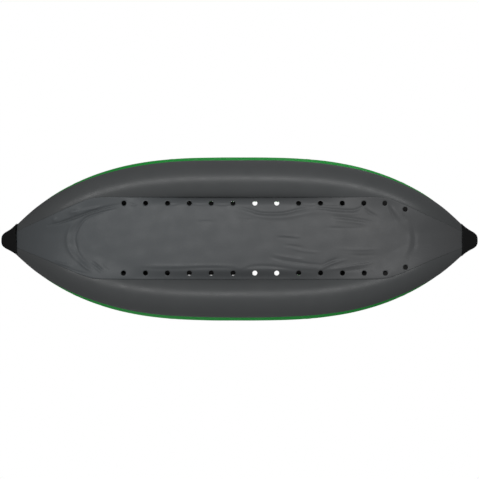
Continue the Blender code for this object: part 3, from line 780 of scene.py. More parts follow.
def ripple(x, angle, seed):
    """Slight unevenness of an inflated skin, from -1 to 1, as a sum of long waves."""
    waves = ((7.1, 1.0, 0.3), (13.7, 2.0, 1.9), (23.3, 3.0, 4.2), (31.9, 1.0, 5.5))
    return sum(np.sin(k * x + around * angle + phase + seed) for k, around, phase in waves) / len(waves)


def tube_stations():
    """Close places along a tube, with an extra pair at each edge of its seam tapes."""
    places = set(np.linspace(-COVER_END, COVER_END, 300).tolist())
    for joint in TUBE_JOINTS:
        for edge in (joint - TAPE_HALF_WIDTH, joint + TAPE_HALF_WIDTH):
            places.update((edge - TAPE_BEVEL, edge + TAPE_BEVEL))
    return np.array(sorted(places))


def seam_tape(x):
    """1 on the tapes over the tube's joints, else 0."""
    start, end = TAPE_HALF_WIDTH - TAPE_BEVEL, TAPE_HALF_WIDTH + TAPE_BEVEL
    return sum(1 - smooth_step(np.abs(x - joint), start, end) for joint in TUBE_JOINTS)


def outboard_seam(side, x):
    """The angle of the wear panel's outboard edge, which was glued a little lower on the starboard side."""
    return OUTBOARD_SEAM + side * SEAM_ERROR + SEAM_TWIST * share(x) ** 7


def inboard_seam(x):
    return INBOARD_SEAM + SEAM_TWIST * share(x) ** 3


def build_tube(side, prefix):
    xs = tube_stations()[:, None]
    angles = np.array(turns(TUBE_SIDES))[None, :]
    top = smooth_step(np.sin(angles), -0.75, -0.35)
    beside_tapes = sum(groove(np.abs(xs - joint) - 0.024, 0.012, 1.0) for joint in TUBE_JOINTS)
    lift = TAPE_THICKNESS * seam_tape(xs) * top + TUBE_RIPPLE * ripple(xs, angles, side)
    lift = lift - SEAM_PUCKER * beside_tapes * top * (0.6 + 0.4 * np.sin(9 * angles + 3 * xs))
    end_puckers = smooth_step(share(xs), 0.86, 0.93) * np.maximum(0, np.sin(14 * angles)) * top
    lift = lift - END_PUCKER * end_puckers
    mesh = grid_mesh(tube_points(side, xs, angles, lift), ring=True, ends=True)
    punch(mesh, [tube_frame(side, VALVE_X, VALVE_ANGLE, 0.0, 1)], VALVE_HOLE, reach=0.02)
    parts = ("stern_cone", "aft_section", "centre_section", "forward_section", "bow_cone")
    names = [f"{prefix}_{part}" for part in parts]
    piece_from(f"{prefix}_air_tube", face_out(mesh), "tube_green", replaces=names)


def build_wear_panel(side, prefix):
    """The grey layer glued to the underside of a tube. Behind the bottom sheet it is black, as painted shade
    seen through the drain holes.
    """
    xs = np.linspace(-COVER_END, COVER_END, 420)[:, None]
    across = np.linspace(0, 1, 72)[None, :]
    inboard, outboard = inboard_seam(xs), outboard_seam(side, xs)
    wander = 0.0016 / TUBE_RADIUS * np.sin(11 * xs + side)
    angles = inboard + (outboard + wander - inboard) * across
    edge = 0.0008 * (1 - smooth_step(across, 0.0, 0.02))
    lift = PANEL_LIFT + PANEL_RIPPLE * ripple(xs, angles, 2 + side) - edge
    mesh = grid_mesh(tube_points(side, xs, angles, lift), flip=side > 0)
    obj = piece_from(f"{prefix}_underside", mesh, "hull_grey", replaces=[f"{prefix}_wear_panel"])
    # Painted shade: black where the sheet covers the panel, so that the drain holes show dark
    line(mesh, lambda x, y, z: np.abs(y) < sheet_edge(x) - 0.006)
    solidify(obj, 0.0016, -1.0)


# Bottom sheet


def sheet_edge(x):
    y, _ = tube_centre(x)
    return smooth_min(SHEET_EDGE, y - SHEET_INBOARD * tube_radius(x), 0.012)


def edge_height(x):
    y, z = tube_centre(x)
    radius = tube_radius(x) + PANEL_LIFT + 2.5 * GAP
    return z - np.sqrt(radius**2 - (y - sheet_edge(x)) ** 2)


def knee(x):
    half = MATTRESS_THICKNESS / 2
    return np.maximum(mattress_half_width(x, notched=False) - half, 0.02) + KNEE


def hole_place(index, side):
    x = FIRST_HOLE_X + HOLE_PITCH * index - HOLE_CLOSE_UP * max(0, index - 10) ** 2
    return x, side * min(HOLE_Y, float(sheet_edge(x)) - HOLE_MARGIN)


# Folds in the bottom sheet, in millimetres: height towards the ground before FOLD_DEPTH multiplies it, half
# width, and the crest's points from amidships and from the centreline. A height below zero is a crease.
FOLD_DEPTH = 1.9
FOLDS = (
    # stern, starboard: the two long folds that run aft from the first hole, and the puffs beside them
    (-6.4, 6.5, ((-688, -191), (-796, -168), (-882, -142), (-956, -116), (-1036, -91), (-1110, -76))),
    (3.8, 5.0, ((-693, -179), (-779, -162), (-865, -139), (-905, -124))),
    (-3.0, 5.5, ((-699, -171), (-779, -152), (-853, -129), (-905, -95), (-939, -34), (-945, 12), (-930, 75))),
    (4.4, 14.0, ((-985, -150), (-945, -151), (-915, -160))),
    (2.6, 12.0, ((-1085, -104), (-1055, -112))),
    (2.8, 6.0, ((-905, -158), (-850, -168), (-790, -180))),
    # the mattress's stern end, which shows through as a rim
    (2.6, 13.0, ((-872, -140), (-964, -74), (-992, 0), (-976, 69), (-910, 138), (-840, 182))),
    (-2.0, 7.0, ((-945, 12), (-933, 69), (-902, 118), (-868, 150), (-836, 177))),
    # stern, port: short folds at the corner, and the long faint ones
    (2.6, 5.0, ((-925, 128), (-888, 162), (-847, 190))),
    (-3.4, 4.5, ((-850, 130), (-812, 158), (-776, 190))),
    (2.0, 4.5, ((-840, 152), (-812, 176), (-784, 197))),
    (-1.8, 4.0, ((-790, 150), (-764, 170), (-745, 186))),
    (1.3, 4.0, ((-776, 156), (-750, 180))),
    (3.4, 6.5, ((-1062, 130), (-1020, 146), (-968, 161))),
    (1.5, 6.0, ((-1095, 163), (-1050, 180), (-1000, 196))),
    (-1.6, 6.0, ((-1040, 150), (-960, 184), (-859, 207))),
    # starboard of the middle: the wave round the two open holes, and the ridge inboard of it
    (-3.2, 6.5, ((-20, -182), (60, -160), (111, -144), (190, -139), (260, -144), (340, -163), (400, -171))),
    (1.8, 12.0, ((-10, -160), (60, -139), (128, -124), (210, -119), (288, -124), (400, -146), (480, -150))),
    (-2.8, 6.0, ((420, -172), (470, -171), (556, -162), (648, -158), (690, -172), (715, -186))),
    (1.6, 9.0, ((480, -152), (560, -143), (640, -139), (700, -146))),
    (-2.2, 6.5, ((520, -122), (600, -116), (680, -106), (779, -89))),
    (1.3, 9.0, ((540, -104), (640, -94), (740, -78))),
    (-2.4, 5.5, ((705, -176), (740, -150), (785, -124))),
    (1.5, 6.0, ((735, -172), (765, -150), (800, -132))),
    (-3.0, 5.0, ((852, -190), (872, -150), (899, -94))),
    (2.4, 6.0, ((875, -182), (896, -146), (918, -108))),
    (-2.0, 5.0, ((935, -150), (946, -125), (960, -98))),
    # port of the middle, towards the bow
    (-2.0, 6.0, ((174, 108), (250, 128), (334, 140), (420, 150), (488, 155))),
    (1.8, 6.0, ((200, 96), (290, 112), (360, 122))),
    (2.6, 6.5, ((445, 184), (490, 163), (535, 143), (610, 122))),
    (-2.0, 6.0, ((470, 154), (520, 132), (560, 118))),
    (2.4, 7.5, ((480, 184), (560, 174), (642, 160), (710, 150), (775, 137))),
    (-1.4, 7.0, ((560, 190), (660, 182), (760, 168))),
    (-1.3, 5.5, ((215, -4), (270, -1), (340, 7))),
    (1.0, 6.0, ((215, -18), (280, -13), (350, -6))),
    (-1.2, 5.5, ((255, 40), (310, 46), (372, 56))),
    (1.0, 6.0, ((300, 62), (380, 76), (460, 82))),
    (-0.9, 6.5, ((-30, -110), (40, -104), (90, -106))),
    (-0.8, 7.0, ((-250, -90), (-190, -94), (-130, -92))),
    (-1.0, 6.0, ((620, 95), (700, 100), (790, 96))),
    (0.9, 7.0, ((560, 60), (680, 66), (800, 62))),
    (-0.9, 6.0, ((480, -60), (600, -56), (720, -58))),
    # along the port row of holes
    (-2.2, 8.0, ((-560, 172), (-450, 177), (-340, 176), (-200, 171), (-60, 174), (0, 186))),
    (-2.4, 8.0, ((0, 188), (71, 164), (160, 161), (248, 170), (360, 184), (471, 190))),
    (1.2, 8.0, ((-520, 158), (-340, 160), (-160, 156), (-20, 160))),
    # short tucks between the holes of the starboard row
    (-1.6, 4.5, ((-420, -196), (-385, -190), (-350, -196))),
    (-1.8, 4.5, ((-285, -196), (-225, -191), (-170, -195))),
    (-1.8, 4.5, ((-150, -194), (-95, -190), (-45, -196))),
    (-1.6, 4.5, ((350, -196), (395, -188), (450, -193))),
    (-1.6, 4.5, ((475, -196), (520, -190), (575, -194))),
    (-1.5, 5.0, ((-640, -205), (-610, -190), (-580, -196))),
    # the mattress's bow end
    (-1.8, 13.0, ((968, -112), (1000, -70), (1012, 0), (1004, 60), (970, 112))),
    (1.6, 14.0, ((930, -104), (966, -62), (980, 0), (970, 60), (935, 108))),
)  # fmt: skip


def fold_heights(x, y):
    """How far the folds push the sheet towards the ground, at places given as flat arrays."""
    total = np.zeros_like(x)
    for height, half_width, crest in FOLDS:
        half_width /= 1000
        path = np.array([p[:2] for p in smooth_path([(a / 1000, b / 1000, 0) for a, b in crest], 6)])
        low, high = path.min(0) - 4 * half_width, path.max(0) + 4 * half_width
        near = np.nonzero((x > low[0]) & (x < high[0]) & (y > low[1]) & (y < high[1]))[0]
        best = np.full(len(near), 1e9)
        at = np.zeros(len(near))
        for i, (a, b) in enumerate(zip(path, path[1:])):
            run = b - a
            t = np.clip(((x[near] - a[0]) * run[0] + (y[near] - a[1]) * run[1]) / (run @ run), 0, 1)
            distance = np.hypot(x[near] - a[0] - run[0] * t, y[near] - a[1] - run[1] * t)
            closer = distance < best
            best = np.where(closer, distance, best)
            at = np.where(closer, (i + t) / (len(path) - 1), at)
        taper = np.sin(pi * np.clip(at, 0.03, 0.97)) ** 0.7
        total[near] += FOLD_DEPTH * height / 1000 * taper * np.exp(-((best / half_width) ** 2))
    return total


def slack(x, y):
    """The sheet's faint overall unevenness."""
    waves = ((9, 14, 0.4), (17, -9, 2.2), (26, 21, 1.1), (-31, 40, 3.7), (47, 33, 5.1), (12, 70, 0.9))
    return 0.00028 * sum(np.sin(a * x + b * y + c) for a, b, c in waves)


def build_bottom_sheet():
    rows = int(2 * COVER_END / CLOTH_STEP)
    columns = 2 * int(SHEET_EDGE / CLOTH_STEP) + 1
    xs = np.linspace(-COVER_END, COVER_END, rows)[:, None]
    across = np.linspace(-1, 1, columns)[None, :]
    edge = sheet_edge(xs)
    x, y = np.broadcast_arrays(xs, edge * across)
    high = edge_height(xs) - SKIN
    low = floor_height(xs)
    past_mattress = smooth_step(np.abs(xs), MATTRESS_HALF_LENGTH + 0.04, SHEET_LEVEL_X)
    low = low + (high - low) * past_mattress
    # It climbs to its edge beside the mattress: early to port and at both ends, else late
    turn = knee(xs) - 0.006
    late = np.maximum(0.0, (np.abs(y) - turn) / (edge - turn)) ** 2.2
    early = smooth_step(np.abs(y), turn - 0.012, edge - 0.002)
    climb = np.where(y > 0, early, late + (early - late) * smooth_step(np.abs(xs), 0.86, 0.98))
    z = low + (high - low) * climb
    taut = 1 - smooth_step(np.abs(across), 0.93, 1.0)
    folds = fold_heights(x.ravel(), y.ravel()).reshape(x.shape) + slack(x, y)
    z = z - folds * taut
    at_ends, at_edge = smooth_step(np.abs(xs), 0.80, 0.95), smooth_step(np.abs(across), 0.975, 1.0)
    z = z + EDGE_SUNK * at_ends * at_edge
    mesh = grid_mesh(np.stack([x, y, z], -1), flip=True)
    holes = [Matrix.Translation((*hole_place(i, side), 0.03)) for i in range(HOLE_COUNT) for side in (1, -1)]
    punch(mesh, holes, HOLE_RADIUS, reach=0.2)
    names = [f"bottom_sheet_{part}" for part in ("stern", "centre", "bow")]
    obj = piece_from("bottom_sheet", mesh, "sheet_grey", replaces=names)
    solidify(obj, SKIN, -1.0)


# Floor mattress


# The faces of the mattress's side tape, whose near-black is also painted shade seen through the drain holes
def on_mattress_side(x, y, z):
    flat = mattress_half_width(x) - MATTRESS_THICKNESS / 2
    beside = (np.abs(y) > flat + 0.004) | (np.abs(x) > MATTRESS_HALF_LENGTH - 0.012)
    return beside & (z < floor_top(x) - 0.004)


def build_mattress():
    """The drop-stitch mattress: flat faces, round sides drawn in underneath, and a black side tape,
    near-black so that it also gives painted shade seen through the drain holes.
    """
    half = MATTRESS_THICKNESS / 2
    steps = 260
    draw_in = 0.004
    round_side = np.linspace(pi / 2, -pi / 2, 15)
    rows = []
    for i in range(steps + 1):
        # Sections stand closer together towards the ends
        x = MATTRESS_HALF_LENGTH * sin(pi / 2 * (2 * i / steps - 1) * 0.965) / sin(pi / 2 * 0.965)
        flat = float(mattress_half_width(x)) - half
        middle = float(floor_height(x)) + SKIN + GAP + half + 0.0006
        end_round = sqrt(max(0.02, 1 - (abs(x) / (MATTRESS_HALF_LENGTH + 0.001)) ** 26))
        tall = half * end_round
        top = [(flat * (1 - 2 * j / 14), tall) for j in range(1, 14)]
        low = tall - 0.006
        side = []
        for a in round_side:
            side.append((flat + draw_in * min(0, sin(a)) + half * cos(a), (tall if a > 0 else low) * sin(a)))
        right = [(-y, z) for y, z in side]
        bottom = [((flat - draw_in) * (2 * j / 14 - 1), -low) for j in range(1, 14)]
        left = side[::-1]
        rows.append([(x, y, middle + z) for y, z in top + right + bottom + left])
    mesh = face_out(grid_mesh(rows, ring=True, ends=True))
    punch(mesh, [floor_frame(FLOOR_VALVE_X), floor_frame(RELIEF_X)], VALVE_HOLE, reach=0.02)
    obj = piece_from("floor_panel", mesh, "floor_grey", replaces=["floor_mattress"])
    # Black side tape, which also gives painted shade in the drain holes
    line(mesh, on_mattress_side)


# Nose caps and deck panels


def cap_half_width(d):
    """Half a nose cap's width at a distance d from its tip."""
    round_end = (1 - max(0.0, 1 - d / CAP_NOSE) ** 3) ** (1 / 3)
    return (CAP_TIP_HALF_WIDTH + CAP_FLARE * d + CAP_SWELL * d**2) * round_end


def cap_ring(end, d, inset):
    """A section through a nose cap at a distance d from its tip. Towards the mouth it bows along the boat."""
    x = end * (HALF_LENGTH - d)
    z = tube_centre(end * (HALF_LENGTH - max(d, 0.02)))[1]
    width = max(cap_half_width(d) - inset, 0.0005)
    height = max(cap_half_width(d) * CAP_HEIGHT_SHARE - inset, 0.0004)
    at_mouth = 0.005 * smooth_step(d, 0.05, CAP_LENGTH)
    ring = []
    for a in turns(72):
        y = np.copysign(abs(cos(a)) ** (2 / CAP_SHAPE), cos(a)) * width
        rise = np.copysign(abs(sin(a)) ** (2 / CAP_SHAPE), sin(a)) * height
        bow = at_mouth * ((y / width) if end < 0 else (y / width) ** 2 - 1)
        ring.append(Vector((x + bow, y, z + rise)))
    return ring


def build_cap(end, name):
    """A moulded boot, open towards the hull, with a beaded rim."""
    depths = [CAP_LENGTH * (1 - i / 26) for i in range(26)]
    depths = [d for d in depths if d > 0.012] + [0.009, 0.0065, 0.0045, 0.003, 0.0017, 0.0008, 0.0003]
    outside = [cap_ring(end, d, -groove(CAP_LENGTH - 0.004 - d, 0.0028, 0.0011)) for d in depths]
    inside = [cap_ring(end, d, CAP_WALL) for d in depths[:-8]]
    mesh = grid_mesh(outside[::-1] + inside, ring=True, ends=True)
    piece_from(name, face_out(mesh), "rubber_black", replaces=[f"{name.split('_')[0]}_nose_cap"])


def deck_points(x, across, lift):
    """The panel over the groove between the tubes. Across runs from -1 to 1."""
    y, z = tube_centre(x)
    radius = tube_radius(x) + DECK_LIFT + lift
    place = across * (y + 0.45 * radius)
    over = np.maximum(np.abs(place) - y, 0.0)
    sag = 0.0030 * np.maximum(0.0, 1 - (place / np.maximum(y, 0.005)) ** 2) * smooth_step(y, 0.01, 0.08)
    return np.stack(np.broadcast_arrays(x, place, z + np.sqrt(radius**2 - over**2) - sag), -1)


def build_deck(end, prefix):
    xs = np.linspace(end * DECK_START, end * (HALF_LENGTH - CAP_LENGTH - 0.003), 90)[:, None]
    across = np.linspace(-1, 1, 61)[None, :]
    hem = smooth_step(np.abs(across), 0.90, 0.93) * HEM
    hem = hem + HEM * (1 - smooth_step(np.abs(xs - end * DECK_START), 0.010, 0.014))
    points = deck_points(xs, across, hem)
    mesh = grid_mesh(points, flip=end > 0)
    obj = piece_from(f"{prefix}_deck", mesh, "patch_black", replaces=[f"{prefix}_deck_panel"])
    solidify(obj, PATCH_SKIN, 1.0)


# Valves


def knurl(count, depth, least):
    """Ribs round a rim, on the widest part of a profile only."""
    return lambda a, radius: depth * abs(sin(count * a / 2)) ** 0.6 if radius > least else 0.0


def turned_piece(name, profile, place, sides, look, body, node, wobble=None, parts=()):
    mesh = merge(turned(profile, place, sides, wobble), *parts)
    piece_from(name, sharpen(mesh), look, body, [node])


def build_valve(prefix, place):
    """A spring valve: a flanged body, a push plunger over a coil spring, and a hinged cap with ribs."""
    cap, plunger = f"{prefix}_valve_cap", f"{prefix}_valve_plunger"
    flange = rounded((
        (0.0190, 0.0042), (0.0214, 0.0046), (0.0238, 0.0038), (0.0272, 0.0034), (0.0298, 0.0024),
        (0.0300, 0.0008), (0.0230, 0.0008), (0.0230, -0.0300), (0.0034, -0.0300), (0.0034, -0.0262),
        (0.0190, -0.0262), (0.0190, -0.0085), (0.0120, -0.0085), (0.0120, -0.0055), (0.0190, -0.0055),
        (0.0190, 0.0040),
    ))  # fmt: skip
    parts = []
    for y in (-0.0072, 0.0072):
        middle = (-VALVE_HINGE + 0.0006, y, 0.0048)
        parts.append(rounded_box((0.0090, 0.0030, 0.0080), middle, place, 0.0008))
    for i in range(6):
        around = place @ Matrix.Rotation(pi / 6 + i * pi / 3, 4, "Z")
        parts.append(rounded_box((0.0072, 0.0014, 0.0022), (0.0158, 0, -0.0070), around, 0.0003))
    body = f"{prefix}_valve_body"
    turned_piece(f"{prefix}_housing", flange, place, 72, "valve_black", "hull", body, parts=parts)
    stem = rounded((
        (0.0, -0.0026), (0.0040, -0.0026), (0.0052, -0.0020), (0.0070, -0.0022), (0.0070, -0.0050),
        (0.0030, -0.0050), (0.0030, -0.0090), (0.0150, -0.0090), (0.0150, -0.0112), (0.0030, -0.0112),
        (0.0030, -0.0340), (0.0, -0.0340),
    ), 0.0004)  # fmt: skip
    turned_piece(f"{prefix}_plunger", stem, place, 40, "valve_black", plunger, plunger)
    build_coil(prefix, place)
    shell = rounded((
        (0.0, 0.0096), (0.0090, 0.0096), (0.0100, 0.0104), (0.0165, 0.0103), (0.0200, 0.0098),
        (0.0248, 0.0086), (0.0264, 0.0074), (0.0270, 0.0052), (0.0205, 0.0052), (0.0205, 0.0078),
        (0.0, 0.0078),
    ), 0.0004)  # fmt: skip
    hinge = place @ Matrix.Translation((-VALVE_HINGE, 0, 0.0068)) @ Matrix.Rotation(pi / 2, 4, "X")
    parts = [
        rounded_box((0.0120, 0.0100, 0.0026), (-0.0300, 0, 0.0068), place, 0.0007),
        turned(((0.0, 0.0072), (0.0011, 0.0070), (0.0011, -0.0070), (0.0, -0.0072)), hinge, 16),
        rounded_box((0.0060, 0.0120, 0.0020), (0.0280, 0, 0.0064), place, 0.0006),
    ]
    ribs = knurl(40, 0.0007, 0.0245)
    turned_piece(f"{prefix}_lid", shell, place, 120, "valve_black", cap, cap, ribs, parts)


def build_coil(prefix, place):
    """The valve's spring: a coil of steel wire."""
    low, high, radius = -0.0250, -0.0124, 0.0075
    coils, per_coil = 4, 28
    count = coils * per_coil
    points = []
    for i in range(count + 1):
        a = 2 * pi * i / per_coil
        points.append(place @ Vector((radius * cos(a), radius * sin(a), low + (high - low) * i / count)))
    spring = tube_along(points, 0.0008, 8)
    obj = piece_from(f"{prefix}_coil", spring, "steel", replaces=[f"{prefix}_valve_spring"], ride=False)
    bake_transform(obj)


def build_relief_valve():
    place = floor_frame(RELIEF_X)
    body = rounded((
        (0.0120, 0.0040), (0.0225, 0.0040), (0.0262, 0.0034), (0.0290, 0.0022), (0.0290, 0.0006),
        (0.0230, 0.0006), (0.0230, -0.0240), (0.0120, -0.0240), (0.0120, 0.0038),
    ))  # fmt: skip
    turned_piece("relief_housing", body, place, 72, "valve_black", "hull", "relief_valve_body")
    cap = rounded((
        (0.0, 0.0076), (0.0060, 0.0076), (0.0070, 0.0085), (0.0150, 0.0080), (0.0192, 0.0068),
        (0.0200, 0.0056), (0.0200, 0.0044), (0.0110, 0.0044), (0.0110, -0.0060), (0.0, -0.0060),
    ), 0.0004)  # fmt: skip
    ribs = knurl(24, 0.0006, 0.0185)
    turned_piece("relief_stopper", cap, place, 96, "rubber_black", "hull", "relief_valve_cap", ribs)


# Rings, patches, straps


def ring_points():
    """A D ring's wire: its round side, then its bar."""
    steps = 32
    points = []
    for i in range(steps + 1):
        a = pi / 2 - pi * i / steps
        x = RING_DEPTH * abs(cos(a)) ** (2 / 3)
        y = RING_HALF_WIDTH * np.copysign(abs(sin(a)) ** (2 / 3), sin(a))
        points.append(Vector((x, y, 0.0)))
    bar = [Vector((0, -RING_HALF_WIDTH + 2 * RING_HALF_WIDTH * i / 12, 0)) for i in range(1, 12)]
    return points + bar


def build_ring(name, place, body, node):
    """A D ring of steel wire, at its bar's axes."""
    wire = [place @ p for p in ring_points()]
    piece_from(name, tube_along(wire, RING_WIRE, 14, closed=True), "steel", body, [node])


def build_keeper(name, place, radius, height, width):
    """A webbing loop that holds a bar down, with two rows of stitches on each foot."""
    over = radius + 0.0011
    toe = over + 0.0022
    foot = 0.0006
    angles = [pi - pi * i / 10 for i in range(11)]
    arch = [(over * cos(a), height + over * sin(a)) for a in angles]
    left = [(-toe - reach, foot) for reach in (0.012, 0.004, 0.0)]
    right = [(toe + reach, foot) for reach in (0.0, 0.004, 0.012)]
    points = [place @ Vector((x, 0, z)) for x, z in (*left, *arch, *right)]
    across = place.to_3x3() @ Vector((0, 1, 0))
    piece_from(name, ribbon(points, [across] * len(points), width, 0.0012, refine=2), "webbing_black")
    up = (place.to_3x3() @ Vector((0, 0, 1))).normalized()
    lines = []
    for end in (-1, 1):
        for step in (0.004, 0.009):
            ends = [place @ Vector((end * (toe + step), y * (width / 2 - 0.002), 0.0013)) for y in (-1, 1)]
            lines.append([(ends[0], up), (ends[1], up)])
    piece_from(f"{name}_stitches", stitches(lines, pitch=0.0036, length=0.0026), "thread")


def build_patch(name, side, x, angle, node):
    """A round patch with a bevelled edge that follows the tube."""
    radius = tube_radius(x)
    flat = [(part, 0.0) for part in (0.25, 0.5, 0.75, 0.9, 0.955)]
    grid = []
    for part, drop in (*flat, (0.985, -0.0003), (1.0, -0.0009), (1.0, -0.0013)):
        place = PATCH_RADIUS * part
        row = []
        for a in turns(72):
            lift = PATCH_TOP + drop + 0.0001 * sin(5 * a)
            row.append(tube_point(side, x + place * cos(a), angle + place * sin(a) / radius, lift))
        grid.append(row)
    mesh = grid_mesh(grid, ring=True)
    with editing(mesh) as bm:
        bmesh.ops.holes_fill(bm, edges=[e for e in bm.edges if e.is_boundary], sides=0)
    piece_from(name, face_out(mesh), "patch_black", replaces=[node])


def build_seat_rings():
    for side, name, x, forward, _ in STRAPS:
        build_patch(f"{name}_round_patch", side, x, RING_ANGLE, f"{name}_ring_patch")
        outer = tube_frame(side, x, RING_ANGLE, PATCH_TOP, forward)
        build_keeper(f"{name}_keeper", outer, RING_WIRE, RING_HEIGHT, 0.024)
        build_ring(f"{name}_d_ring", ring_frame(side, x, forward), "hull", f"{name}_ring")


def build_tie_rings():
    for end, prefix in ENDS:
        place = deck_frame(end * DECK_RING_X)
        build_keeper(f"{prefix}_tie_keeper", place, RING_WIRE, RING_HEIGHT, 0.024)
        axis = place @ Matrix.Translation((0, 0, RING_HEIGHT)) @ Matrix.Rotation(pi, 4, "Z")
        build_ring(f"{prefix}_d_ring", axis, f"{prefix}_tie_ring", f"{prefix}_tie_ring")


def strap_path(side, ring, forward, height):
    """A strap's points, round its ring and on to the seat back, and the direction across it at each."""
    ring = ring @ Matrix.Translation((RING_DEPTH - 0.0006, 0, 0))
    back = back_frame()
    outside = SEAT_HALF_WIDTH + 0.0025
    place = -BACK_THICKNESS * 0.5
    wrap = RING_WIRE + 0.0026
    local = [(0.050, 0.0014), (0.034, 0.0014), (0.014, 0.0040), (0.004, wrap)]
    local += [(wrap * cos(a), wrap * sin(a)) for a in (pi / 2 + pi * i / 6 for i in range(7))]
    local += [(0.004, -wrap), (0.014, -0.0040), (0.034, -0.0014), (0.066, -0.0014)]
    points = [ring @ Vector((x, 0, z)) for x, z in local]
    across = [ring.to_3x3() @ Vector((0, 1, 0))] * len(points)
    up = back.to_3x3() @ Vector((0, 0, 1))
    if across[-1].dot(up) < 0:
        up = -up
    start = points[-1]
    out = (start - points[-2]).normalized()
    tail = back @ Vector((place + forward * -0.030, side * outside, height))
    reach = (tail - start).length
    for i in range(1, 9):
        t = i / 8
        bend = start.lerp(tail, t)
        points.append(bend.lerp(start + out * reach * t, (1 - t) ** 3))
        across.append(across[0].lerp(up, float(smooth_step(t, 0.25, 0.95))).normalized())
    points.append(back @ Vector((place, side * outside, height)))
    across.append(up)
    return points, across


def build_straps():
    """Straps from their rings, through a buckle, to the sides of the seat back."""
    for side, name, x, forward, height in STRAPS:
        ring = ring_frame(side, x, forward)
        points, across = strap_path(side, ring, forward, height)
        mesh = ribbon(points, across, STRAP_WIDTH, STRAP_THICKNESS)
        obj = piece_from(f"{name}_webbing", mesh, "webbing_black", replaces=[f"{name}_strap"], ride=False)
        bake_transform(obj)
        out = Vector((0, side, 0))
        lines = []
        for offset in (-0.007, 0.007):
            lines.append([(points[i] + across[i] * offset + out * 0.0010, out) for i in (-2, -1)])
        piece_from(f"{name}_bar_tack", stitches(lines), "thread", "seat_back")
        build_buckle(f"{name}_adjuster", ring, f"{name}_strap_buckle")


def build_buckle(name, place, node):
    """A flat adjuster: two walls beside the strap, and three bars over and under both of its runs."""
    place = place @ Matrix.Translation((RING_DEPTH + 0.044, 0, 0))
    walls = [rounded_box((0.026, 0.0040, 0.0085), (0, y, 0), place, 0.0012) for y in (-0.0129, 0.0129)]
    spots = [(x, 0, z) for x in (-0.0098, 0.0, 0.0098) for z in (-0.0034, 0.0034)]
    bars = [rounded_box((0.0055, 0.0262, 0.0015), spot, place, 0.0006) for spot in spots]
    piece_from(name, sharpen(merge(*walls, *bars)), "valve_black", replaces=[node])


# Handles


def build_handle(end, prefix):
    """A closed loop of cord held by two keepers, with a grooved rubber grip on its far side."""
    outer = deck_frame(end * HANDLE_X)
    for place, side in ((-HANDLE_KEEPER_Y, "starboard"), (HANDLE_KEEPER_Y, "port")):
        spot = outer @ Matrix.Translation((0, place, 0))
        build_keeper(f"{prefix}_handle_{side}_keeper", spot, HANDLE_CORD, HANDLE_HEIGHT, 0.020)
    place = outer @ Matrix.Translation((0, 0, HANDLE_HEIGHT))
    rise = GRIP_RADIUS + 0.0008 - HANDLE_HEIGHT
    outline = (
        (0.000, 0.000), (0.000, 0.030), (0.000, 0.060), (0.003, 0.067), (0.010, 0.070), (0.030, 0.069),
        (0.050, 0.066), (0.062, 0.061), (0.069, 0.053), (0.070, 0.044), (0.070, 0.020), (0.070, 0.0),
    )  # fmt: skip
    half = [(x, y, rise * x / HANDLE_REACH) for x, y in outline]
    loop = half + [(x, -y, z) for x, y, z in reversed(half[1:-1])]
    count = len(loop)
    path = []
    for i in range(count):
        span = [Vector(loop[(i + k) % count]) for k in (-1, 0, 1, 2)]
        path += [place @ curve_point(*span, step / 5) for step in range(5)]
    body = f"{prefix}_handle"
    cord = tube_along(path, HANDLE_CORD, 16, closed=True)
    piece_from(f"{prefix}_loop", cord, "cord_black", body, [f"{prefix}_handle_cord"])
    length = GRIP_HALF_LENGTH
    profile = [(0.0048, length - 0.001), (0.0085, length), (0.0120, length - 0.0006)]
    steps = 90
    for i in range(steps + 1):
        t = 1 - 2 * i / steps
        waist = 0.0125 + 0.0015 * t * t
        ring = 0.0007 * max(0.0, sin(pi * 11 * (t + 1) - pi / 2)) if abs(t) < 0.82 else 0.0
        rounding = 0.0016 * max(0.0, abs(t) - 0.94) / 0.06
        profile.append((waist - ring - rounding, t * (length - 0.002)))
    profile += [(0.0120, -length + 0.0006), (0.0085, -length), (0.0048, -length + 0.001)]
    grip = place @ Matrix.Translation((HANDLE_REACH, 0, rise)) @ Matrix.Rotation(-pi / 2, 4, "X")
    piece_from(f"{prefix}_grip", turned(profile, grip, 40), "rubber_black", body, [f"{prefix}_handle_grip"])


# Seat


def pad_mesh(size, shape):
    """A padded cushion in its own frame: a rounded block, its soft cover blown up and let settle.

    Shape moves each point of the finished cushion, for its channels and its flat or waisted sides.
    """
    mesh = rounded_box(size, (0, 0, 0), Matrix.Identity(4), min(size) * 0.30, 4, 0.55)
    obj = added("pad", mesh)
    remesh = obj.modifiers.new("Even", "REMESH")
    remesh.mode = "VOXEL"
    remesh.voxel_size = 0.006
    settle(obj)
    rest = np.array([v.co for v in obj.data.vertices])
    cloth = obj.modifiers.new("Cloth", "CLOTH").settings
    cloth.quality = 5
    cloth.mass = 0.25
    cloth.tension_stiffness = cloth.compression_stiffness = 18
    cloth.bending_stiffness = 0.6
    cloth.use_pressure = True
    cloth.uniform_pressure_force = 4.0
    cloth.effector_weights.gravity = 0.0
    scene = bpy.context.scene
    for number in range(1, 21):
        scene.frame_set(number)
    settle(obj)
    step = np.array([v.co for v in obj.data.vertices]) - rest
    far = np.linalg.norm(step, axis=1, keepdims=True)
    moved = rest + step * np.minimum(1.0, MOST_SWELL / np.maximum(far, 1e-9))
    obj.data.vertices.foreach_set("co", moved.ravel())
    scene.frame_set(1)
    smooth = obj.modifiers.new("Soft", "SMOOTH")
    smooth.iterations = 3
    fine = obj.modifiers.new("Fine", "SUBSURF")
    fine.levels = fine.render_levels = 1
    settle(obj)
    points = shape(np.array([v.co for v in obj.data.vertices]))
    mesh = obj.data
    mesh.vertices.foreach_set("co", points.ravel())
    mesh.update()
    bpy.data.objects.remove(obj)
    return mesh


def settle(obj):
    """Replaces an object's mesh by what its modifiers make of it."""
    depsgraph = bpy.context.evaluated_depsgraph_get()
    fresh = bpy.data.meshes.new_from_object(obj.evaluated_get(depsgraph))
    obj.modifiers.clear()
    obj.data = fresh


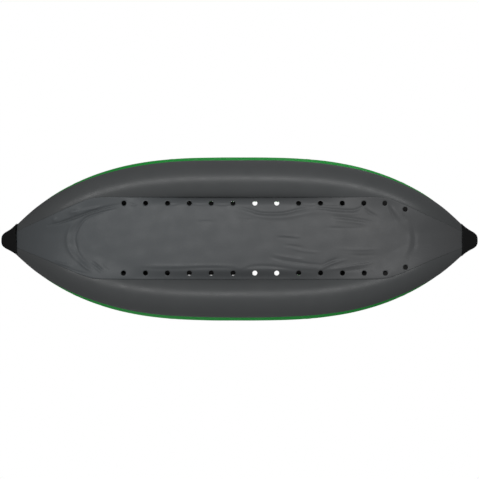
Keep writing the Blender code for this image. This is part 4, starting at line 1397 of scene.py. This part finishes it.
def fitted(points, size):
    """A cushion's points, centred and brought to its size."""
    low, high = points.min(0), points.max(0)
    return (points - (low + high) / 2) * (np.array(size) / (high - low))


def back_outline(across, up):
    """How the seat back narrows towards its top, and how far its corners drop."""
    narrowing = 1 - 0.075 * smooth_step(up, 0.35, 1.0)
    return narrowing, 0.020 * smooth_step(across, 0.45, 1.0) * smooth_step(up, 0.3, 1.0)


def base_shape(points):
    """The seat: flat underneath, hollowed a little on top, with sewn channels, its sides drawn in."""
    size = (SEAT_FRONT - SEAT_REAR, 2 * SEAT_HALF_WIDTH, SEAT_THICKNESS)
    points = fitted(points, size)
    x, y, z = points.T
    top = smooth_step(z, -0.004, 0.020)
    across = np.minimum(1, np.abs(y) / SEAT_HALF_WIDTH)
    depth = sum(groove(x - place, 0.0065, 0.0085) for place in (-0.105, -0.010, 0.085))
    depth = depth + groove(np.abs(y) - 0.128, 0.006, 0.0065) * smooth_step(0.150 - np.abs(x), 0, 0.01)
    hollow = 0.007 * np.exp(-((x + 0.05) ** 2) / 0.012 - y**2 / 0.010)
    pull = 0.0016 * np.sin(x * 150 + 2 * np.sin(y * 40)) * np.exp(-(((across - 0.93) / 0.06) ** 2)) * top
    z = z - top * (depth * (1 - 0.35 * across**4) + hollow)
    waist = 1 - 0.010 * np.cos(np.clip(z / 0.030, -1, 1) * pi / 2)
    z = np.maximum(z + pull, -SEAT_THICKNESS / 2)
    return np.stack([x * waist, y * waist, z], -1)


def back_shape(points):
    """The seat back in its own frame, from its hinge up: dished in front, with channels and a curved top."""
    size = (BACK_THICKNESS, 2 * SEAT_HALF_WIDTH, BACK_HEIGHT)
    points = fitted(points, size)
    x, y, z = points.T
    front = smooth_step(x, -0.004, 0.014)
    rear = smooth_step(-x, -0.004, 0.014)
    across = np.abs(y) / SEAT_HALF_WIDTH
    up = z / (BACK_HEIGHT / 2)
    depth = sum(groove(z - place, 0.0065, 0.0075) for place in (-0.085, 0.0, 0.085)) * (1 - 0.3 * across**4)
    depth = depth + groove(np.abs(y) - 0.132, 0.006, 0.0055) * smooth_step(0.130 - np.abs(z), 0, 0.01)
    x = x - front * (depth + 0.004 * (1 - across**2) * (1 - up**2))
    x = x + rear * 0.5 * groove(np.abs(y) - 0.10, 0.008, 0.005)
    narrowing, drop = back_outline(across, up)
    middle_x, middle_z = -BACK_THICKNESS / 2 - BACK_SET, BACK_HEIGHT / 2 + BACK_SET
    return np.stack([x + middle_x, y * narrowing, z - drop + middle_z], -1)


def build_seat():
    base = float(floor_top(0.0)) + 0.0006
    middle = Matrix.Translation(((SEAT_FRONT + SEAT_REAR) / 2, 0, base + SEAT_THICKNESS / 2))
    size = (SEAT_FRONT - SEAT_REAR - 0.02, 2 * SEAT_HALF_WIDTH - 0.02, SEAT_THICKNESS - 0.012)
    mesh = pad_mesh(size, base_shape)
    mesh.transform(middle)
    piece_from("seat_cushion", mesh, "seat_fabric", replaces=["seat_base"])
    back = back_frame()
    size = (BACK_THICKNESS - 0.012, 2 * SEAT_HALF_WIDTH - 0.02, BACK_HEIGHT - 0.02)
    mesh = pad_mesh(size, back_shape)
    mesh.transform(back)
    piece_from("seat_backrest", mesh, "seat_fabric", "seat_back", ["seat_back"])
    build_piping(middle, back)
    build_hinge_strip(back)


def build_piping(middle, back):
    """Cord piping round the seat and the back, where their covers are sewn."""
    half_x, half_y = (SEAT_FRONT - SEAT_REAR) / 2, SEAT_HALF_WIDTH
    for level, name in ((SEAT_THICKNESS / 2 - 0.012, "upper"), (-SEAT_THICKNESS / 2 + 0.010, "lower")):
        loop = round_rectangle(half_x - 0.0015, half_y - 0.0015, 0.022)
        points = [middle @ Vector((x, y, level)) for x, y in loop]
        piece_from(f"seat_{name}_piping", tube_along(points, PIPING, 10, closed=True), "cord_black")
    points = []
    for y, z in round_rectangle(half_y - 0.002, BACK_HEIGHT / 2 - 0.002, 0.022):
        narrowing, drop = back_outline(abs(y) / SEAT_HALF_WIDTH, z / (BACK_HEIGHT / 2))
        height = z - drop + BACK_HEIGHT / 2 + BACK_SET
        points.append(back @ Vector((-BACK_THICKNESS / 2 - BACK_SET + 0.008, y * narrowing, height)))
    piece_from("back_piping", tube_along(points, PIPING, 10, closed=True), "cord_black", "seat_back")


def round_rectangle(half_a, half_b, radius):
    """Points round a rectangle with rounded corners."""
    steps = 10
    points = []
    for sign_a, sign_b, start in ((1, 1, 0), (-1, 1, pi / 2), (-1, -1, pi), (1, -1, 3 * pi / 2)):
        for i in range(steps + 1):
            a = start + pi / 2 * i / steps
            b = sign_b * (half_b - radius) + radius * sin(a)
            points.append((sign_a * (half_a - radius) + radius * cos(a), b))
    return points


def build_hinge_strip(back):
    hinge = back.translation
    face = SEAT_REAR - 0.0011
    points = [Vector((face, 0, hinge.z - 0.050)), Vector((face, 0, hinge.z - 0.022))]
    points += [Vector((face - 0.0006, 0, hinge.z - 0.008)), Vector((hinge.x + 0.0012, 0, hinge.z + 0.002))]
    points += [back @ Vector((-0.0028, 0, z)) for z in (0.010, 0.022, 0.050)]
    mesh = ribbon(points, [Vector((0, 1, 0))] * len(points), 2 * SEAT_HALF_WIDTH - 0.06, 0.0014)
    obj = piece_from("hinge_flap", mesh, "seat_fabric", replaces=["seat_hinge_strip"], ride=False)
    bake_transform(obj)


# Stage


def mixed(tree, factor, first, second):
    """Two shaders of a node tree, mixed."""
    node = tree.nodes.new("ShaderNodeMixShader")
    for socket, output in zip(node.inputs, (factor, first, second)):
        tree.links.new(output, socket)
    return node.outputs[0]


def build_floor():
    """A pale floor that shows from above only, so that the boat can be seen from beneath.

    Far from the boat it glows, so that it meets the white surround without an edge.
    """
    mesh = bpy.data.meshes.new("studio_floor")
    beneath = Matrix.Translation((0, 0, -0.0012))
    with editing(mesh) as bm:
        bmesh.ops.create_grid(bm, x_segments=1, y_segments=1, size=12.0, matrix=beneath)
    look = bpy.data.materials.new("studio_floor")
    look.use_nodes = True
    tree = look.node_tree
    nodes, links = tree.nodes, tree.links
    shader = nodes["Principled BSDF"]
    put(shader, Base_Color=(0.80, 0.80, 0.79, 1), Roughness=0.85, Emission_Color=(1, 1, 1, 1))
    geometry = nodes.new("ShaderNodeNewGeometry")
    distance = nodes.new("ShaderNodeVectorMath")
    distance.operation = "LENGTH"
    glow = nodes.new("ShaderNodeMapRange")
    glow.interpolation_type = "SMOOTHSTEP"
    put(glow, From_Min=1.2, From_Max=6.5, To_Max=0.62)
    links.new(geometry.outputs["Position"], distance.inputs[0])
    links.new(distance.outputs["Value"], glow.inputs["Value"])
    links.new(glow.outputs["Result"], shader.inputs["Emission Strength"])
    clear = nodes.new("ShaderNodeBsdfTransparent")
    seen = mixed(tree, geometry.outputs["Backfacing"], shader.outputs[0], clear.outputs[0])
    links.new(seen, nodes["Material Output"].inputs["Surface"])
    mesh.materials.append(look)
    obj = added("studio_floor", mesh)
    obj.visible_diffuse = obj.visible_glossy = obj.visible_transmission = obj.visible_shadow = False


def area_light(name, place, target, size, power, glossy=True):
    data = bpy.data.lights.new(name, "AREA")
    data.shape = "RECTANGLE"
    data.size, data.size_y = size
    data.energy = power
    obj = added(name, data)
    obj.location = place
    obj.rotation_euler = (Vector(target) - Vector(place)).to_track_quat("-Z", "Y").to_euler()
    obj.visible_glossy = glossy


def build_lights():
    """A long soft light beneath, a little to starboard, and soft lights above for the other views.

    The broad lights above give no reflections, which would wash out the hull's rim as seen from beneath.
    """
    area_light("strip_below", (0, -0.37, -1.6), (0, -0.02, 0.1), (4.4, 0.3), 22)
    area_light("key_above", (0.8, -3.3, 2.3), (0, 0, 0.2), (2.8, 2.2), 125, glossy=False)
    area_light("fill_above", (-0.8, 3.3, 2.3), (0, 0, 0.2), (2.8, 2.2), 75, glossy=False)
    area_light("strip_above", (0, 0, 3.2), (0, 0, 0.1), (2.6, 0.5), 55)
    world = bpy.data.worlds.new("studio")
    bpy.context.scene.world = world
    world.use_nodes = True
    tree = world.node_tree
    surround = tree.nodes["Background"]
    reflected, shown = (tree.nodes.new("ShaderNodeBackground") for _ in range(2))
    for node, strength in ((surround, 0.38), (reflected, 0.08), (shown, 1.0)):
        put(node, Color=(1, 1, 1, 1), Strength=strength)
    rays = tree.nodes.new("ShaderNodeLightPath").outputs
    lit = mixed(tree, rays["Is Glossy Ray"], surround.outputs[0], reflected.outputs[0])
    seen = mixed(tree, rays["Is Camera Ray"], lit, shown.outputs[0])
    tree.links.new(seen, tree.nodes["World Output"].inputs["Surface"])


def build_camera():
    """Beneath the boat, looking up: the bow to the right, starboard uppermost."""
    data = bpy.data.cameras.new("camera")
    data.lens = 70.9
    data.clip_end = 60
    obj = added("camera", data)
    place, target = Vector((0.0, 0.204, -5.365)), Vector((0.0, 0.004, 0.133))
    back = (place - target).normalized()
    right = Vector((1, 0, 0))
    up = back.cross(right).normalized()
    obj.matrix_world = Matrix.Translation(place) @ Matrix((right, up, back)).transposed().to_4x4()
    bpy.context.scene.camera = obj
    bpy.context.scene.view_settings.view_transform = "Standard"


def build_kayak():
    for side, prefix in SIDES:
        build_tube(side, prefix)
        build_wear_panel(side, prefix)
        build_valve(f"{prefix}_tube", tube_frame(side, VALVE_X, VALVE_ANGLE, 0.0, 1))
    build_valve("floor", floor_frame(FLOOR_VALVE_X))
    build_relief_valve()
    build_bottom_sheet()
    build_mattress()
    for end, prefix in ENDS:
        build_cap(end, f"{prefix}_boot")
        build_deck(end, prefix)
        build_handle(end, prefix)
    build_seat_rings()
    build_tie_rings()
    build_seat()
    build_straps()


build_camera()
build_lights()
build_floor()
build_kayak()
bpy.context.view_layer.update()
